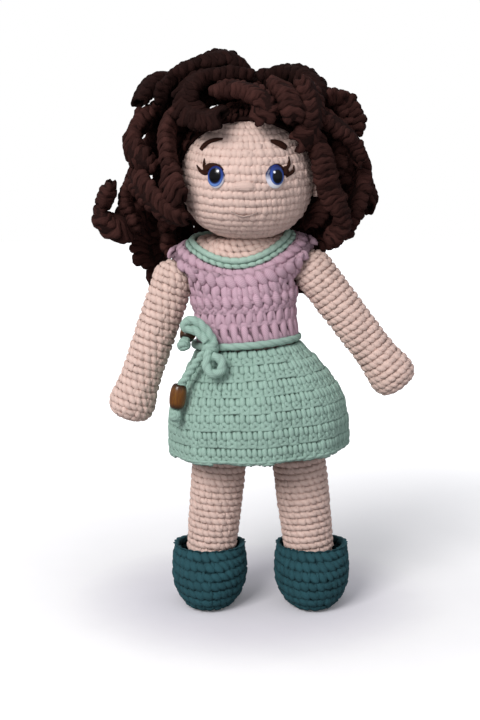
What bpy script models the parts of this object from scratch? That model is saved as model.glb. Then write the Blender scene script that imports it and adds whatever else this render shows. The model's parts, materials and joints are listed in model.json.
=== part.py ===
"""A crocheted doll with ribbon curls, a dress with a tied cord, and slippers.

Metres, +Z up. The doll faces -Y and stands on Z = 0, and +X is its left hand side.
"""
import math

import bmesh
import bpy
import numpy as np
from mathutils import Matrix, Vector

# Clearances and shared sizes
SEAM_GAP = 0.0004          # between pieces that are sewn face to face
JOINT_GAP = 0.0005         # between a limb's round top and its socket
ARMHOLE_GAP = 0.0017       # between an arm's round top and the dress
CUT_OVERRUN = 0.004        # how far a cutter stands out of what it cuts

# Heights, chained from the floor up
HIP_HEIGHT = 0.0800
HIP_TO_WAIST = 0.0535
WAIST_TO_NECKLINE = 0.0530
NECKLINE_TO_HEAD_CENTRE = 0.0270
WAIST_HEIGHT = HIP_HEIGHT + HIP_TO_WAIST
NECKLINE_HEIGHT = WAIST_HEIGHT + WAIST_TO_NECKLINE
HEAD_HEIGHT = NECKLINE_HEIGHT + NECKLINE_TO_HEAD_CENTRE

# Trunk
CHEST_HALF_WIDTH = 0.0253
CHEST_HALF_DEPTH = 0.0215
TRUNK_LEAN = 0.0033        # sideways shift of the hips against the chest
SHOULDER_SHIFT_SHARE = -0.7    # of that lean, at the shoulders
SHOULDER_SLOPE_SHARE = 0.08
NECK_RADIUS = 0.0110
NECK_INSERT = 0.0055       # how far the neck stands into the head
TRUNK_SIDES = 24

# Head
HEAD_RADIUS = 0.0325
HEAD_SIDE = -0.0028
HEAD_FORWARD = 0.0055
HEAD_STEPS = 24
FACE_TURN = math.radians(-2.0)

# Face pieces
EYE_RADIUS = 0.0047
EYE_BULGE = 0.0024
EYE_RIM_SHARE = 0.25       # of the bulge, at the eye's edge
EYE_SPREAD = math.radians(25.0)
EYE_LIFT = math.radians(2.2)
EYE_STEM_RADIUS = 0.0018
EYE_STEM_LENGTH = 0.0085
WASHER_RADIUS = 0.0052
WASHER_THICKNESS = 0.0014
WASHER_DEPTH = 0.0042      # from the cover to the washer's near face
NOSE_LENGTH = 0.0092
NOSE_HEIGHT = 0.0036
NOSE_PADDING = 0.0022
NOSE_DROP = math.radians(5.0)
EAR_HEIGHT = 0.0095
EAR_LENGTH = 0.0070
EAR_THICKNESS = 0.0036
EAR_DROP = math.radians(8.0)
EAR_TURN = math.radians(82.0)

# Arms
ARM_LENGTH = 0.0760        # from the shoulder joint to the finger end
ARM_RADIUS = 0.0103
HAND_RADIUS = 0.0115
RIGHT_ARM_SPREAD = math.radians(18.0)
LEFT_ARM_SPREAD = math.radians(36.3)
RIGHT_SHOULDER_OUT = 0.0372
LEFT_SHOULDER_OUT = 0.0326
RIGHT_SHOULDER_DROP = 0.0235   # below the neckline
LEFT_SHOULDER_DROP = 0.0188
ARM_STEPS = 16

# Legs and slippers
LEG_RADIUS = 0.0133
ANKLE_RADIUS = 0.0122
RIGHT_HIP_OUT = 0.0192
LEFT_HIP_OUT = 0.0193
RIGHT_LEG_SPREAD = math.radians(5.1)
LEFT_LEG_SPREAD = math.radians(6.8)
LEG_STEPS = 18
FOOT_TOP_SHARE = 0.84      # of the slipper's height, where the foot's sides end
INSTEP_HEIGHT_SHARE = 0.97
INSTEP_RADIUS_SHARE = 0.85     # of the ankle's
SHOE_HEIGHT = 0.0285
SHOE_HALF_WIDTH = 0.0187
SHOE_TOE = 0.0290
SHOE_HEEL = 0.0175
SHOE_WALL = 0.0018
SHOE_SIDES = 20

# Dress
DRESS_WALL = 0.0016
SKIRT_DROP = 0.0560        # from the waist to the hem
SKIRT_HALF_WIDTH = 0.0458
SKIRT_HALF_DEPTH = 0.0388
SKIRT_FOLD = 0.0009
SKIRT_FOLDS = 8
SKIRT_SIDES = 32
HEM_LEVEL_SHARE = 0.35     # how much of the slope is lost from the waist to the hem
BODY_GAP = 0.0010          # between the trunk and the dress

# Tie cord, bow and beads
CORD_RADIUS = 0.00175
KNOT_RADIUS = 0.0038
END_KNOT_RADIUS = 0.0031
BEAD_LENGTH = 0.0120
BEAD_RADIUS = 0.0041
BEAD_BORE = 0.00215
BEAD_END_SHARE = 0.66      # radius of a bead's flat ends, of its own
BEAD_BARREL_SHARE = 0.94   # of a bead's length, where its barrel curve starts
CORD_STEP = 0.0042         # spacing of a cord's points
LOOP_STEP_SHARE = 0.6      # of that, round a bow loop
TIE_OPENING_SHARE = 0.3    # from the knot's middle to the cord's ends, in knot radii
KNOT_ANGLE = math.radians(226)
LOOP_LENGTH = 0.0150       # from the knot's middle to the far end of a bow loop
LOOP_HALF_WIDTH = 0.0031

# Hair
CAP_WALL = 0.0020
CAP_HAIRLINE_SHARES = (-0.62, 0.80)    # back and up from the head's centre, at the forehead
CAP_SIDE_SHARES = (0.15, -0.25)        # and beside the ears
CAP_NAPE_SHARE = -0.60
RIBBON_RADIUS = 0.0054
RIBBON_GAP = 0.0003
RIBBON_STEP = 0.0046       # spacing of a ribbon's points
REAR_CURL_RADIUS = 0.0026
REAR_CURL_TURNS = 2.5

COLLECTION = "crocheted_doll"
CUTTERS = "cutters"

SKIN = (0.78, 0.60, 0.54)
MINT = (0.36, 0.56, 0.47)
LILAC = (0.50, 0.34, 0.42)
TEAL = (0.03, 0.09, 0.11)
BROWN = (0.045, 0.020, 0.017)
WHITE = (0.80, 0.80, 0.82)
AMBER = (0.22, 0.07, 0.015)


def clear_scene():
    for thing in list(bpy.data.objects):
        bpy.data.objects.remove(thing)


def collection(name):
    found = bpy.data.collections.get(name)
    if found is None:
        found = bpy.data.collections.new(name)
        bpy.context.scene.collection.children.link(found)
    return found


def material(name, colour, roughness, metallic=0.0):
    made = bpy.data.materials.new(name)
    made.use_nodes = True
    shader = made.node_tree.nodes["Principled BSDF"]
    shader.inputs["Base Color"].default_value = (*colour, 1.0)
    shader.inputs["Roughness"].default_value = roughness
    shader.inputs["Metallic"].default_value = metallic
    return made


def place(name, data, group=COLLECTION):
    """A new object for a mesh or curve, in its collection."""
    piece = bpy.data.objects.new(name, data)
    collection(group).objects.link(piece)
    return piece


def finish(piece, colour, roughness=0.9):
    """Give a piece its own material and smooth shading."""
    piece.data.materials.clear()
    piece.data.materials.append(material(piece.name + "_finish", colour, roughness))
    if piece.type == "MESH":
        piece.data.shade_smooth()
        piece.data.set_sharp_from_angle(angle=math.radians(50))
    return piece


def settled(piece):
    """The piece with its modifiers or curve applied, as a mesh object of the same name."""
    bpy.context.view_layer.update()
    seen = piece.evaluated_get(bpy.context.evaluated_depsgraph_get())
    made = bpy.data.meshes.new_from_object(seen)
    work = bmesh.new()
    work.from_mesh(made)
    bmesh.ops.remove_doubles(work, verts=work.verts, dist=0.00001)
    work.to_mesh(made)
    work.free()
    name, matrix, group = piece.name, piece.matrix_world.copy(), piece.users_collection[0].name
    bpy.data.objects.remove(piece)
    fresh = place(name, made, group)
    fresh.matrix_world = matrix
    return fresh


def as_cutter(piece):
    piece.hide_render = True
    piece.display_type = "WIRE"
    for group in list(piece.users_collection):
        group.objects.unlink(piece)
    collection(CUTTERS).objects.link(piece)
    return piece


def boolean(piece, other, operation="DIFFERENCE"):
    cut = piece.modifiers.new(other.name, "BOOLEAN")
    cut.operation = operation
    cut.object = other
    cut.solver = "EXACT"


def smooth_steps(values, count):
    """Values of a table's columns at even steps along a smooth curve through its rows."""
    rows = np.array(values, dtype=float)
    padded = np.vstack([2 * rows[0] - rows[1], rows, 2 * rows[-1] - rows[-2]])
    made = []
    for at in np.linspace(0, len(rows) - 1, count):
        low = min(int(at), len(rows) - 2)
        t = at - low
        a, b, c, d = padded[low:low + 4]
        made.append(0.5 * (2 * b + (c - a) * t + (2 * a - 5 * b + 4 * c - d) * t ** 2
                           + (3 * b - a - 3 * c + d) * t ** 3))
    return np.array(made)


def even_route(points, step):
    """Points at an even spacing along a smooth curve through the given ones."""
    fine = smooth_steps(points, 24 * len(points))
    run = np.concatenate([[0], np.cumsum(np.linalg.norm(np.diff(fine, axis=0), axis=1))])
    count = max(4, int(round(run[-1] / step)) + 1)
    wanted = np.linspace(0, run[-1], count)
    return np.column_stack([np.interp(wanted, run, fine[:, axis]) for axis in range(3)])


def grid_normals(grid):
    """Outward directions of a grid of closed rings that are stacked from the bottom up."""
    along = np.roll(grid, -1, axis=1) - np.roll(grid, 1, axis=1)
    up = np.gradient(grid, axis=0)
    made = np.cross(along, up)
    return made / np.linalg.norm(made, axis=2, keepdims=True)


def grid_mesh(name, grid, close_bottom, close_top):
    """A skin of quads over stacked rings, with its ends open or closed by a fan."""
    rows, sides, _ = grid.shape
    work = bmesh.new()
    verts = [[work.verts.new(point) for point in row] for row in grid]
    for row in range(rows - 1):
        for side in range(sides):
            after = (side + 1) % sides
            work.faces.new((verts[row][side], verts[row][after],
                            verts[row + 1][after], verts[row + 1][side]))
    for closed, row in ((close_bottom, 0), (close_top, rows - 1)):
        if closed:
            work.faces.new(verts[row] if row else verts[row][::-1])
    made = bpy.data.meshes.new(name)
    work.to_mesh(made)
    work.free()
    return made


def shell_mesh(name, outer, inner):
    """A wall between an outer and an inner skin of stacked rings, open at both ends."""
    rows, sides, _ = outer.shape
    loop = np.concatenate([outer, inner[::-1]])
    work = bmesh.new()
    verts = [[work.verts.new(point) for point in row] for row in loop]
    for row in range(2 * rows):
        for side in range(sides):
            after = (side + 1) % sides
            above = (row + 1) % (2 * rows)
            work.faces.new((verts[row][side], verts[row][after],
                            verts[above][after], verts[above][side]))
    made = bpy.data.meshes.new(name)
    work.to_mesh(made)
    work.free()
    return made


def turned(name, profile, steps):
    """A solid of revolution round Z, from an (r, z) profile that runs top to bottom."""
    made = bpy.data.meshes.new(name)
    edges = [(i, i + 1) for i in range(len(profile) - 1)]
    made.from_pydata([(r, 0, z) for r, z in profile], edges, [])
    piece = place(name, made)
    screw = piece.modifiers.new("turn", "SCREW")
    screw.steps = steps
    screw.render_steps = steps
    screw.use_merge_vertices = True
    screw.merge_threshold = 0.00001
    return piece


def tube(name, points, radius, resolution, cyclic=False):
    """A round cord along the points, as a curve object."""
    curve = bpy.data.curves.new(name, "CURVE")
    curve.dimensions = "3D"
    curve.bevel_depth = radius
    curve.bevel_resolution = resolution
    curve.use_fill_caps = not cyclic
    spline = curve.splines.new("POLY")
    spline.points.add(len(points) - 1)
    for slot, point in zip(spline.points, points):
        slot.co = (*point, 1.0)
    spline.use_cyclic_u = cyclic
    return place(name, curve)


def ball(name, centre, radius, segments=24, rings=14):
    bpy.ops.mesh.primitive_uv_sphere_add(segments=segments, ring_count=rings, radius=radius,
                                         location=centre)
    piece = bpy.context.active_object
    piece.name = name
    for group in list(piece.users_collection):
        group.objects.unlink(piece)
    collection(COLLECTION).objects.link(piece)
    return piece


def rod(name, radius, length, centre, axis, sides=20):
    """A cylinder along an axis, from its centre."""
    bpy.ops.mesh.primitive_cylinder_add(vertices=sides, radius=radius, depth=length)
    piece = bpy.context.active_object
    piece.name = name
    for group in list(piece.users_collection):
        group.objects.unlink(piece)
    collection(COLLECTION).objects.link(piece)
    turn = Vector(axis).to_track_quat("Z", "Y").to_matrix().to_4x4()
    piece.matrix_world = Matrix.Translation(Vector(centre)) @ turn
    return piece


# Trunk rows, waist to neckline, as shares: height between waist and neckline, side shift in
# leans, half width and half depth in chest sizes, and how far the front dips in chest depths
TRUNK_ROW_SHARES = (
    (0.00, -0.70, 1.00, 1.00, 0.00),
    (0.25, -1.10, 1.00, 0.99, 0.00),
    (0.44, -1.35, 1.05, 0.99, 0.10),
    (0.62, -1.50, 1.13, 0.97, 0.36),
    (0.76, -1.50, 1.32, 0.95, 0.56),
    (0.88, -1.50, 1.46, 0.92, 0.74),
    (0.93, -1.60, 1.34, 0.90, 0.80),
    (0.975, -1.75, 1.13, 0.84, 0.74),
    (1.01, -1.95, 0.89, 0.76, 0.56),
)
BODICE_TOP_SHARE = 0.875   # share of the rows that the bodice covers, below the trim
TRIM_GAP_SHARE = 0.030
BODICE_ROWS = 9
TRIM_ROWS = 3
NEAR_SHARE = 0.012         # of the rows, for the slope at one of them

# Hip rows, bottom to waist, as shares: height from hip joint to waist, side shift in leans,
# half width and half depth in chest sizes
HIP_ROW_SHARES = (
    (0.18, 1.00, 1.06, 0.76),
    (0.20, 1.00, 1.20, 0.88),
    (0.28, 0.95, 1.25, 0.94),
    (0.50, 0.55, 1.15, 0.95),
    (0.78, -0.25, 0.98, 0.93),
)

# Skirt rows, hem to waist, as shares: height below the waist in skirt drops, side shift in
# leans, half width and half depth between the waist's and the hem's
SKIRT_ROW_SHARES = (
    (1.00, 1.05, 0.97, 0.98),
    (0.82, 0.95, 1.00, 1.00),
    (0.65, 0.80, 0.97, 0.97),
    (0.50, 0.60, 0.87, 0.87),
    (0.36, 0.35, 0.66, 0.67),
    (0.22, 0.00, 0.42, 0.43),
    (0.10, -0.45, 0.18, 0.19),
    (0.037, -0.66, 0.05, 0.05),
)


def ring(centre, half_width, half_depth, sides):
    angles = np.linspace(0, 2 * math.pi, sides, endpoint=False)
    x = centre[0] + half_width * np.cos(angles)
    y = centre[1] + half_depth * np.sin(angles)
    return np.column_stack([x, y, np.full(sides, centre[2])])


def front_weight(sides):
    """1 at the front of a ring, falling to 0 at the back."""
    angles = np.linspace(0, 2 * math.pi, sides, endpoint=False)
    return ((1 - np.sin(angles)) / 2) ** 3


def trunk_row(share):
    """One row of the dress's upper part, at a share of the way up its rows."""
    table = np.array(TRUNK_ROW_SHARES)
    fine = smooth_steps(table, 81)
    at = np.clip(share, 0, 1) * 80
    height, shift, width, depth, dip = [np.interp(at, np.arange(81), fine[:, k]) for k in range(5)]
    z = WAIST_HEIGHT + height * WAIST_TO_NECKLINE
    row = ring((shift * TRUNK_LEAN, 0, z), width * CHEST_HALF_WIDTH,
               depth * CHEST_HALF_DEPTH, TRUNK_SIDES)
    row[:, 2] += SHOULDER_SLOPE_SHARE * (row[:, 0] - shift * TRUNK_LEAN)
    row[:, 2] -= dip * CHEST_HALF_DEPTH * front_weight(TRUNK_SIDES)
    return row


def bodice_shares():
    return np.linspace(0.0, BODICE_TOP_SHARE, BODICE_ROWS)


def trim_shares():
    return np.linspace(BODICE_TOP_SHARE + TRIM_GAP_SHARE, 1.0, TRIM_ROWS)


def trunk_grid(shares, inset=0.0):
    """Rows of the dress's upper part at the given shares, moved in by an inset."""
    made = []
    for share in shares:
        row = trunk_row(share)
        up = trunk_row(share + NEAR_SHARE) - trunk_row(share - NEAR_SHARE)
        around = np.roll(row, -1, axis=0) - np.roll(row, 1, axis=0)
        out = np.cross(around, up)
        out /= np.linalg.norm(out, axis=1, keepdims=True)
        made.append(row - inset * out)
    return np.array(made)


def shoulder(side):
    """Centre of a shoulder joint, for the doll's right (-1) or left (+1)."""
    out = LEFT_SHOULDER_OUT if side > 0 else RIGHT_SHOULDER_OUT
    drop = LEFT_SHOULDER_DROP if side > 0 else RIGHT_SHOULDER_DROP
    return np.array([SHOULDER_SHIFT_SHARE * TRUNK_LEAN + side * out, 0.0, NECKLINE_HEIGHT - drop])


def hip(side):
    """Centre of a hip joint."""
    out = LEFT_HIP_OUT if side > 0 else RIGHT_HIP_OUT
    return np.array([TRUNK_LEAN + side * out, 0.0, HIP_HEIGHT])


def head_centre():
    return np.array([HEAD_SIDE, -HEAD_FORWARD, HEAD_HEIGHT])


# Head outline as shares of its radius, (r, z) from the crown down
HEAD_OUTLINE_SHARES = (
    (0.000, 1.020), (0.200, 1.000), (0.390, 0.935), (0.570, 0.835), (0.730, 0.700),
    (0.860, 0.530), (0.950, 0.330), (0.995, 0.110), (0.995, -0.100), (0.950, -0.310),
    (0.860, -0.510), (0.730, -0.670), (0.560, -0.790), (0.380, -0.865), (0.200, -0.895),
    (0.000, -0.900),
)


def head_profile(offset=0.0):
    """The head's outline, moved outwards by an offset, as (r, z) from the crown down."""
    line = smooth_steps(HEAD_OUTLINE_SHARES, 17) * HEAD_RADIUS
    line[0, 0] = 0
    line[-1, 0] = 0
    run = np.gradient(line, axis=0)
    out = np.column_stack([-run[:, 1], run[:, 0]])
    out[0] = (0, 1)
    out[-1] = (0, -1)
    out /= np.linalg.norm(out, axis=1, keepdims=True)
    moved = line + offset * out
    moved[0, 0] = 0
    moved[-1, 0] = 0
    return moved


def face_point(turn, lift, stand=0.0):
    """A point on the head's surface and the direction that it faces."""
    line = head_profile()
    z = HEAD_RADIUS * math.sin(lift)
    order = np.argsort(line[:, 1])
    r = np.interp(z, line[order, 1], line[order, 0])
    facing = np.array([math.sin(turn) * math.cos(lift), -math.cos(turn) * math.cos(lift),
                       math.sin(lift)])
    surface = head_centre() + np.array([r * math.sin(turn), -r * math.cos(turn), z])
    return surface + stand * facing, facing


def build_head():
    centre = head_centre()
    head = turned("head", head_profile(), HEAD_STEPS)
    head.location = centre
    neck_bore = rod("neck_bore", NECK_RADIUS + JOINT_GAP, 2 * (NECK_INSERT + CUT_OVERRUN),
                    neck_top() - Vector((0, 0, NECK_INSERT + CUT_OVERRUN - JOINT_GAP)), (0, 0, 1), 24)
    boolean(head, as_cutter(neck_bore))
    for side in (-1, 1):
        at, facing = face_point(FACE_TURN + side * EYE_SPREAD, EYE_LIFT)
        name = "right" if side < 0 else "left"
        depth = WASHER_DEPTH + WASHER_THICKNESS + 2 * SEAM_GAP
        reach = EYE_STEM_LENGTH + SEAM_GAP + CUT_OVERRUN
        bore = rod("eye_bore_" + name, EYE_STEM_RADIUS + SEAM_GAP, reach,
                   at + facing * (CUT_OVERRUN - reach / 2), facing, 16)
        boolean(head, as_cutter(bore))
        pocket = rod("washer_pocket_" + name, WASHER_RADIUS + SEAM_GAP,
                     WASHER_THICKNESS + 2 * SEAM_GAP,
                     at - facing * (depth - WASHER_THICKNESS / 2 - SEAM_GAP), facing, 20)
        boolean(head, as_cutter(pocket))
    return finish(settled(head), SKIN)


def neck_top():
    """Top centre of the neck, on the axis that the head turns about."""
    return Vector((HEAD_SIDE, -HEAD_FORWARD / 2,
                   HEAD_HEIGHT + HEAD_OUTLINE_SHARES[-1][1] * HEAD_RADIUS + NECK_INSERT))


def build_face():
    for side in (-1, 1):
        name = "right" if side < 0 else "left"
        at, facing = face_point(FACE_TURN + side * EYE_SPREAD, EYE_LIFT)
        build_eye("eye_" + name, at, facing)
        ring_at = at - facing * (WASHER_DEPTH + WASHER_THICKNESS / 2 + SEAM_GAP)
        build_washer("eye_washer_" + name, ring_at, facing)
        build_ear("ear_" + name, side)
    build_nose()


def build_eye(name, at, facing):
    """A domed eye button whose stem runs back through the head's cover."""
    arc = [math.radians(a) for a in (0, 18, 36, 54, 72, 90)]
    rim = EYE_BULGE * EYE_RIM_SHARE
    profile = [(EYE_RADIUS * math.sin(a), rim + (EYE_BULGE - rim) * math.cos(a)) for a in arc]
    profile += [(EYE_RADIUS, 0.0), (EYE_STEM_RADIUS, 0.0),
                (EYE_STEM_RADIUS, -EYE_STEM_LENGTH), (0.0, -EYE_STEM_LENGTH)]
    eye = turned(name, profile, 24)
    turn = Vector(facing).to_track_quat("Z", "Y").to_matrix().to_4x4()
    eye.matrix_world = Matrix.Translation(Vector(at + facing * SEAM_GAP)) @ turn
    return finish(settled(eye), WHITE, 0.12)


def build_washer(name, at, facing):
    inner = EYE_STEM_RADIUS + SEAM_GAP
    half = WASHER_THICKNESS / 2
    profile = [(inner, half), (WASHER_RADIUS, half), (WASHER_RADIUS, -half), (inner, -half),
               (inner, half)]
    washer = turned(name, profile, 20)
    turn = Vector(facing).to_track_quat("Z", "Y").to_matrix().to_4x4()
    washer.matrix_world = Matrix.Translation(Vector(at)) @ turn
    return finish(settled(washer), WHITE, 0.4)


def build_nose():
    at, facing = face_point(FACE_TURN, -NOSE_DROP, NOSE_PADDING / 2 + SEAM_GAP)
    nose = ball("nose", at, 1.0, 16, 10)
    turn = Vector(facing).to_track_quat("Z", "Y").to_matrix().to_4x4()
    size = Matrix.Diagonal((NOSE_LENGTH / 2, NOSE_HEIGHT / 2, NOSE_PADDING / 2, 1.0))
    nose.matrix_world = Matrix.Translation(Vector(at)) @ turn @ size
    return finish(settled(nose), SKIN)


def build_ear(name, side):
    at, facing = face_point(side * EAR_TURN, -EAR_DROP, EAR_THICKNESS / 2 + SEAM_GAP)
    ear = ball(name, at, 1.0, 14, 10)
    turn = Vector(facing).to_track_quat("Z", "Y").to_matrix().to_4x4()
    size = Matrix.Diagonal((EAR_LENGTH / 2, EAR_HEIGHT / 2, EAR_THICKNESS / 2, 1.0))
    ear.matrix_world = Matrix.Translation(Vector(at)) @ turn @ size
    return finish(settled(ear), SKIN)


def build_body():
    """Stuffed trunk: hips, waist, chest and neck in one skin, with four limb sockets."""
    shares = np.concatenate([bodice_shares(), trim_shares()])
    upper = trunk_grid(shares, DRESS_WALL + BODY_GAP)
    lower = []
    for height, shift, width, depth in HIP_ROW_SHARES:
        z = HIP_HEIGHT + height * HIP_TO_WAIST
        lower.append(ring((shift * TRUNK_LEAN, 0, z), width * CHEST_HALF_WIDTH,
                          depth * CHEST_HALF_DEPTH, TRUNK_SIDES))
    top = neck_top()
    neck = [ring((top.x, top.y, top.z - drop), NECK_RADIUS, NECK_RADIUS, TRUNK_SIDES)
            for drop in (NECK_INSERT + SEAM_GAP, 0.0)]
    grid = np.concatenate([np.array(lower), upper, np.array(neck)])
    body = place("body", grid_mesh("body", grid, True, True))
    for side in (-1, 1):
        name = "right" if side < 0 else "left"
        arm_socket = ball("arm_socket_" + name, shoulder(side), ARM_RADIUS + JOINT_GAP)
        boolean(body, as_cutter(arm_socket))
        leg_socket = ball("leg_socket_" + name, hip(side), LEG_RADIUS + JOINT_GAP)
        boolean(body, as_cutter(leg_socket))
    return finish(settled(body), SKIN)


# Arm outline from the shoulder joint to the hand: (distance share, radius in arm radii)
ARM_SHARES = (
    (0.00, 1.00), (0.20, 0.99), (0.45, 0.97), (0.66, 0.95), (0.76, 1.00), (0.85, 1.10),
    (0.92, 1.05), (0.97, 0.78), (1.00, 0.00),
)
WRIST_SHARE = 0.66
HAND_SHARE = 0.85
HAND_SWELL_SHARE = 1.10    # the table's own swell at the hand
LEG_SHARES = ((0.00, 1.00), (0.30, 1.00), (0.55, 0.97), (0.78, 0.92), (0.90, 0.90))


def round_top(radius, steps=6):
    """The upper quarter of a ball's outline, as (r, z) from the pole to the side."""
    return [(radius * math.sin(a), radius * math.cos(a))
            for a in np.linspace(0, math.pi / 2, steps, endpoint=False)]


def leaning(spread, side):
    """The matrix that turns a limb's own -Z to its lean away from the trunk."""
    return Matrix.Rotation(-side * spread, 4, "Y")


def build_arm(side):
    name = "arm_left" if side > 0 else "arm_right"
    spread = LEFT_ARM_SPREAD if side > 0 else RIGHT_ARM_SPREAD
    line = smooth_steps(ARM_SHARES, 15)
    line[-1, 1] = 0
    bulb = HAND_RADIUS / (HAND_SWELL_SHARE * ARM_RADIUS)
    swell = np.interp(line[:, 0], (WRIST_SHARE, HAND_SHARE), (1.0, bulb))
    profile = round_top(ARM_RADIUS)
    profile += [(r * s * ARM_RADIUS, -d * ARM_LENGTH) for (d, r), s in zip(line, swell)]
    arm = turned(name, profile, ARM_STEPS)
    arm.matrix_world = Matrix.Translation(Vector(shoulder(side))) @ leaning(spread, side)
    return finish(settled(arm), SKIN)


# Slipper rows from the floor up, as shares: height, half width, toe reach and heel reach
SHOE_ROW_SHARES = (
    (0.00, 0.60, 0.76, 0.68),
    (0.05, 0.74, 0.88, 0.80),
    (0.20, 0.90, 0.97, 0.94),
    (0.40, 0.99, 1.00, 1.00),
    (0.62, 1.00, 0.96, 1.00),
    (0.82, 0.98, 0.80, 0.97),
    (1.00, 0.93, 0.62, 0.92),
)


def ankle(side, height):
    """The leg's axis at a height."""
    spread = LEFT_LEG_SPREAD if side > 0 else RIGHT_LEG_SPREAD
    joint = hip(side)
    return np.array([joint[0] + side * math.tan(spread) * (HIP_HEIGHT - height), 0.0, height])


def shoe_grid(side, rows, top_share=1.0):
    """Rows of a slipper's outer skin, up to a share of its height."""
    table = smooth_steps(SHOE_ROW_SHARES, 61)
    made = []
    middle = ankle(side, SHOE_HEIGHT / 2)[0]
    for height in np.linspace(0, top_share, rows):
        _, width, toe, heel = [np.interp(height, table[:, 0], table[:, k]) for k in range(4)]
        row = ring((middle, 0, height * SHOE_HEIGHT), width * SHOE_HALF_WIDTH, 1.0, SHOE_SIDES)
        forward = row[:, 1] < 0
        row[:, 1] = np.where(forward, row[:, 1] * toe * SHOE_TOE, row[:, 1] * heel * SHOE_HEEL)
        made.append(row)
    return np.array(made)


def build_shoe(side):
    name = "shoe_left" if side > 0 else "shoe_right"
    grid = shoe_grid(side, 9)
    shoe = place(name, grid_mesh(name, grid, True, False))
    wall = shoe.modifiers.new("wall", "SOLIDIFY")
    wall.thickness = SHOE_WALL
    wall.offset = -1.0
    wall.use_even_offset = True
    return finish(settled(shoe), TEAL)


def build_leg(side):
    """Stuffed leg with its foot, which fills the slipper."""
    name = "leg_left" if side > 0 else "leg_right"
    spread = LEFT_LEG_SPREAD if side > 0 else RIGHT_LEG_SPREAD
    reach = HIP_HEIGHT - SHOE_HEIGHT / 2
    line = smooth_steps(LEG_SHARES, 9)
    taper = (ANKLE_RADIUS / LEG_RADIUS - 1) / (LEG_SHARES[-1][1] - 1)
    profile = round_top(LEG_RADIUS)
    profile += [(LEG_RADIUS * (1 + (r - 1) * taper), -d * reach) for d, r in line]
    profile.append((0.0, profile[-1][1]))
    leg = turned(name, profile, LEG_STEPS)
    leg.matrix_world = Matrix.Translation(Vector(hip(side))) @ leaning(spread, side)
    leg = settled(leg)
    grid = shoe_grid(side, 8, FOOT_TOP_SHARE)
    grid = grid - grid_normals(grid) * (SHOE_WALL + 2 * SEAM_GAP)
    grid[0, :, 2] = SHOE_WALL + SEAM_GAP
    middle = ankle(side, SHOE_HEIGHT)
    radius = ANKLE_RADIUS * INSTEP_RADIUS_SHARE
    instep = ring((middle[0], 0, SHOE_HEIGHT * INSTEP_HEIGHT_SHARE), radius, radius, SHOE_SIDES)
    grid = np.concatenate([grid, instep[None]])
    foot = place("foot_" + name, grid_mesh("foot_" + name, grid, True, True))
    boolean(leg, as_cutter(foot), "UNION")
    return finish(settled(leg), SKIN)


def build_dress():
    bodice = place("dress_bodice", shell_mesh("dress_bodice", trunk_grid(bodice_shares()),
                                              trunk_grid(bodice_shares(), DRESS_WALL)))
    for side in (-1, 1):
        name = "right" if side < 0 else "left"
        armhole = ball("armhole_" + name, shoulder(side), ARM_RADIUS + ARMHOLE_GAP)
        boolean(bodice, as_cutter(armhole))
    finish(settled(bodice), LILAC)
    trim = place("neckline_trim", shell_mesh("neckline_trim", trunk_grid(trim_shares()),
                                             trunk_grid(trim_shares(), DRESS_WALL)))
    finish(trim, MINT)
    outer = skirt_grid()
    skirt = place("dress_skirt", shell_mesh("dress_skirt", outer,
                                            outer - grid_normals(outer) * DRESS_WALL))
    finish(skirt, MINT)


def skirt_grid():
    table = smooth_steps(SKIRT_ROW_SHARES, 10)
    angles = np.linspace(0, 2 * math.pi, SKIRT_SIDES, endpoint=False)
    made = []
    for drop, shift, width, depth in table:
        z = WAIST_HEIGHT - drop * SKIRT_DROP
        half_width = CHEST_HALF_WIDTH + width * (SKIRT_HALF_WIDTH - CHEST_HALF_WIDTH)
        half_depth = CHEST_HALF_DEPTH + depth * (SKIRT_HALF_DEPTH - CHEST_HALF_DEPTH)
        row = ring((shift * TRUNK_LEAN, 0, z), half_width, half_depth, SKIRT_SIDES)
        fold = SKIRT_FOLD * drop ** 2 * np.cos(SKIRT_FOLDS * angles)
        row[:, 0] += fold * np.cos(angles)
        row[:, 1] += fold * np.sin(angles)
        slope = SHOULDER_SLOPE_SHARE * (1 - HEM_LEVEL_SHARE * drop)
        row[:, 2] += slope * (row[:, 0] - shift * TRUNK_LEAN)
        made.append(row)
    return np.array(made)


# Where the free ends of the tie run, in metres, from the knot to the end
TIE_FRONT_ROUTE = (
    (-0.0292, -0.0196, 0.1282), (-0.0306, -0.0207, 0.1234), (-0.0320, -0.0221, 0.1175),
    (-0.0332, -0.0224, 0.1147), (-0.0364, -0.0234, 0.1069), (-0.0399, -0.0244, 0.0987),
)
TIE_BACK_ROUTE = (
    (-0.0262, -0.0160, 0.1362), (-0.0256, -0.0152, 0.1412), (-0.0259, -0.0143, 0.1464),
    (-0.0279, -0.0132, 0.1496), (-0.0302, -0.0126, 0.1478), (-0.0309, -0.0121, 0.1450),
    (-0.0325, -0.0109, 0.1378), (-0.0342, -0.0096, 0.1306),
)


def knot_centre():
    """Middle of the bow's knot, just outside the waist cord."""
    return waist_point(KNOT_ANGLE, CORD_RADIUS + SEAM_GAP + KNOT_RADIUS)


def waist_point(angle, stand):
    """A point round the waist, at a distance outside the waist cord's middle."""
    half_width = CHEST_HALF_WIDTH + SEAM_GAP + CORD_RADIUS + stand
    half_depth = CHEST_HALF_DEPTH + SEAM_GAP + CORD_RADIUS + stand
    side = half_width * math.cos(angle)
    return np.array([TRUNK_ROW_SHARES[0][1] * TRUNK_LEAN + side, half_depth * math.sin(angle),
                     WAIST_HEIGHT + SHOULDER_SLOPE_SHARE * side])


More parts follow.
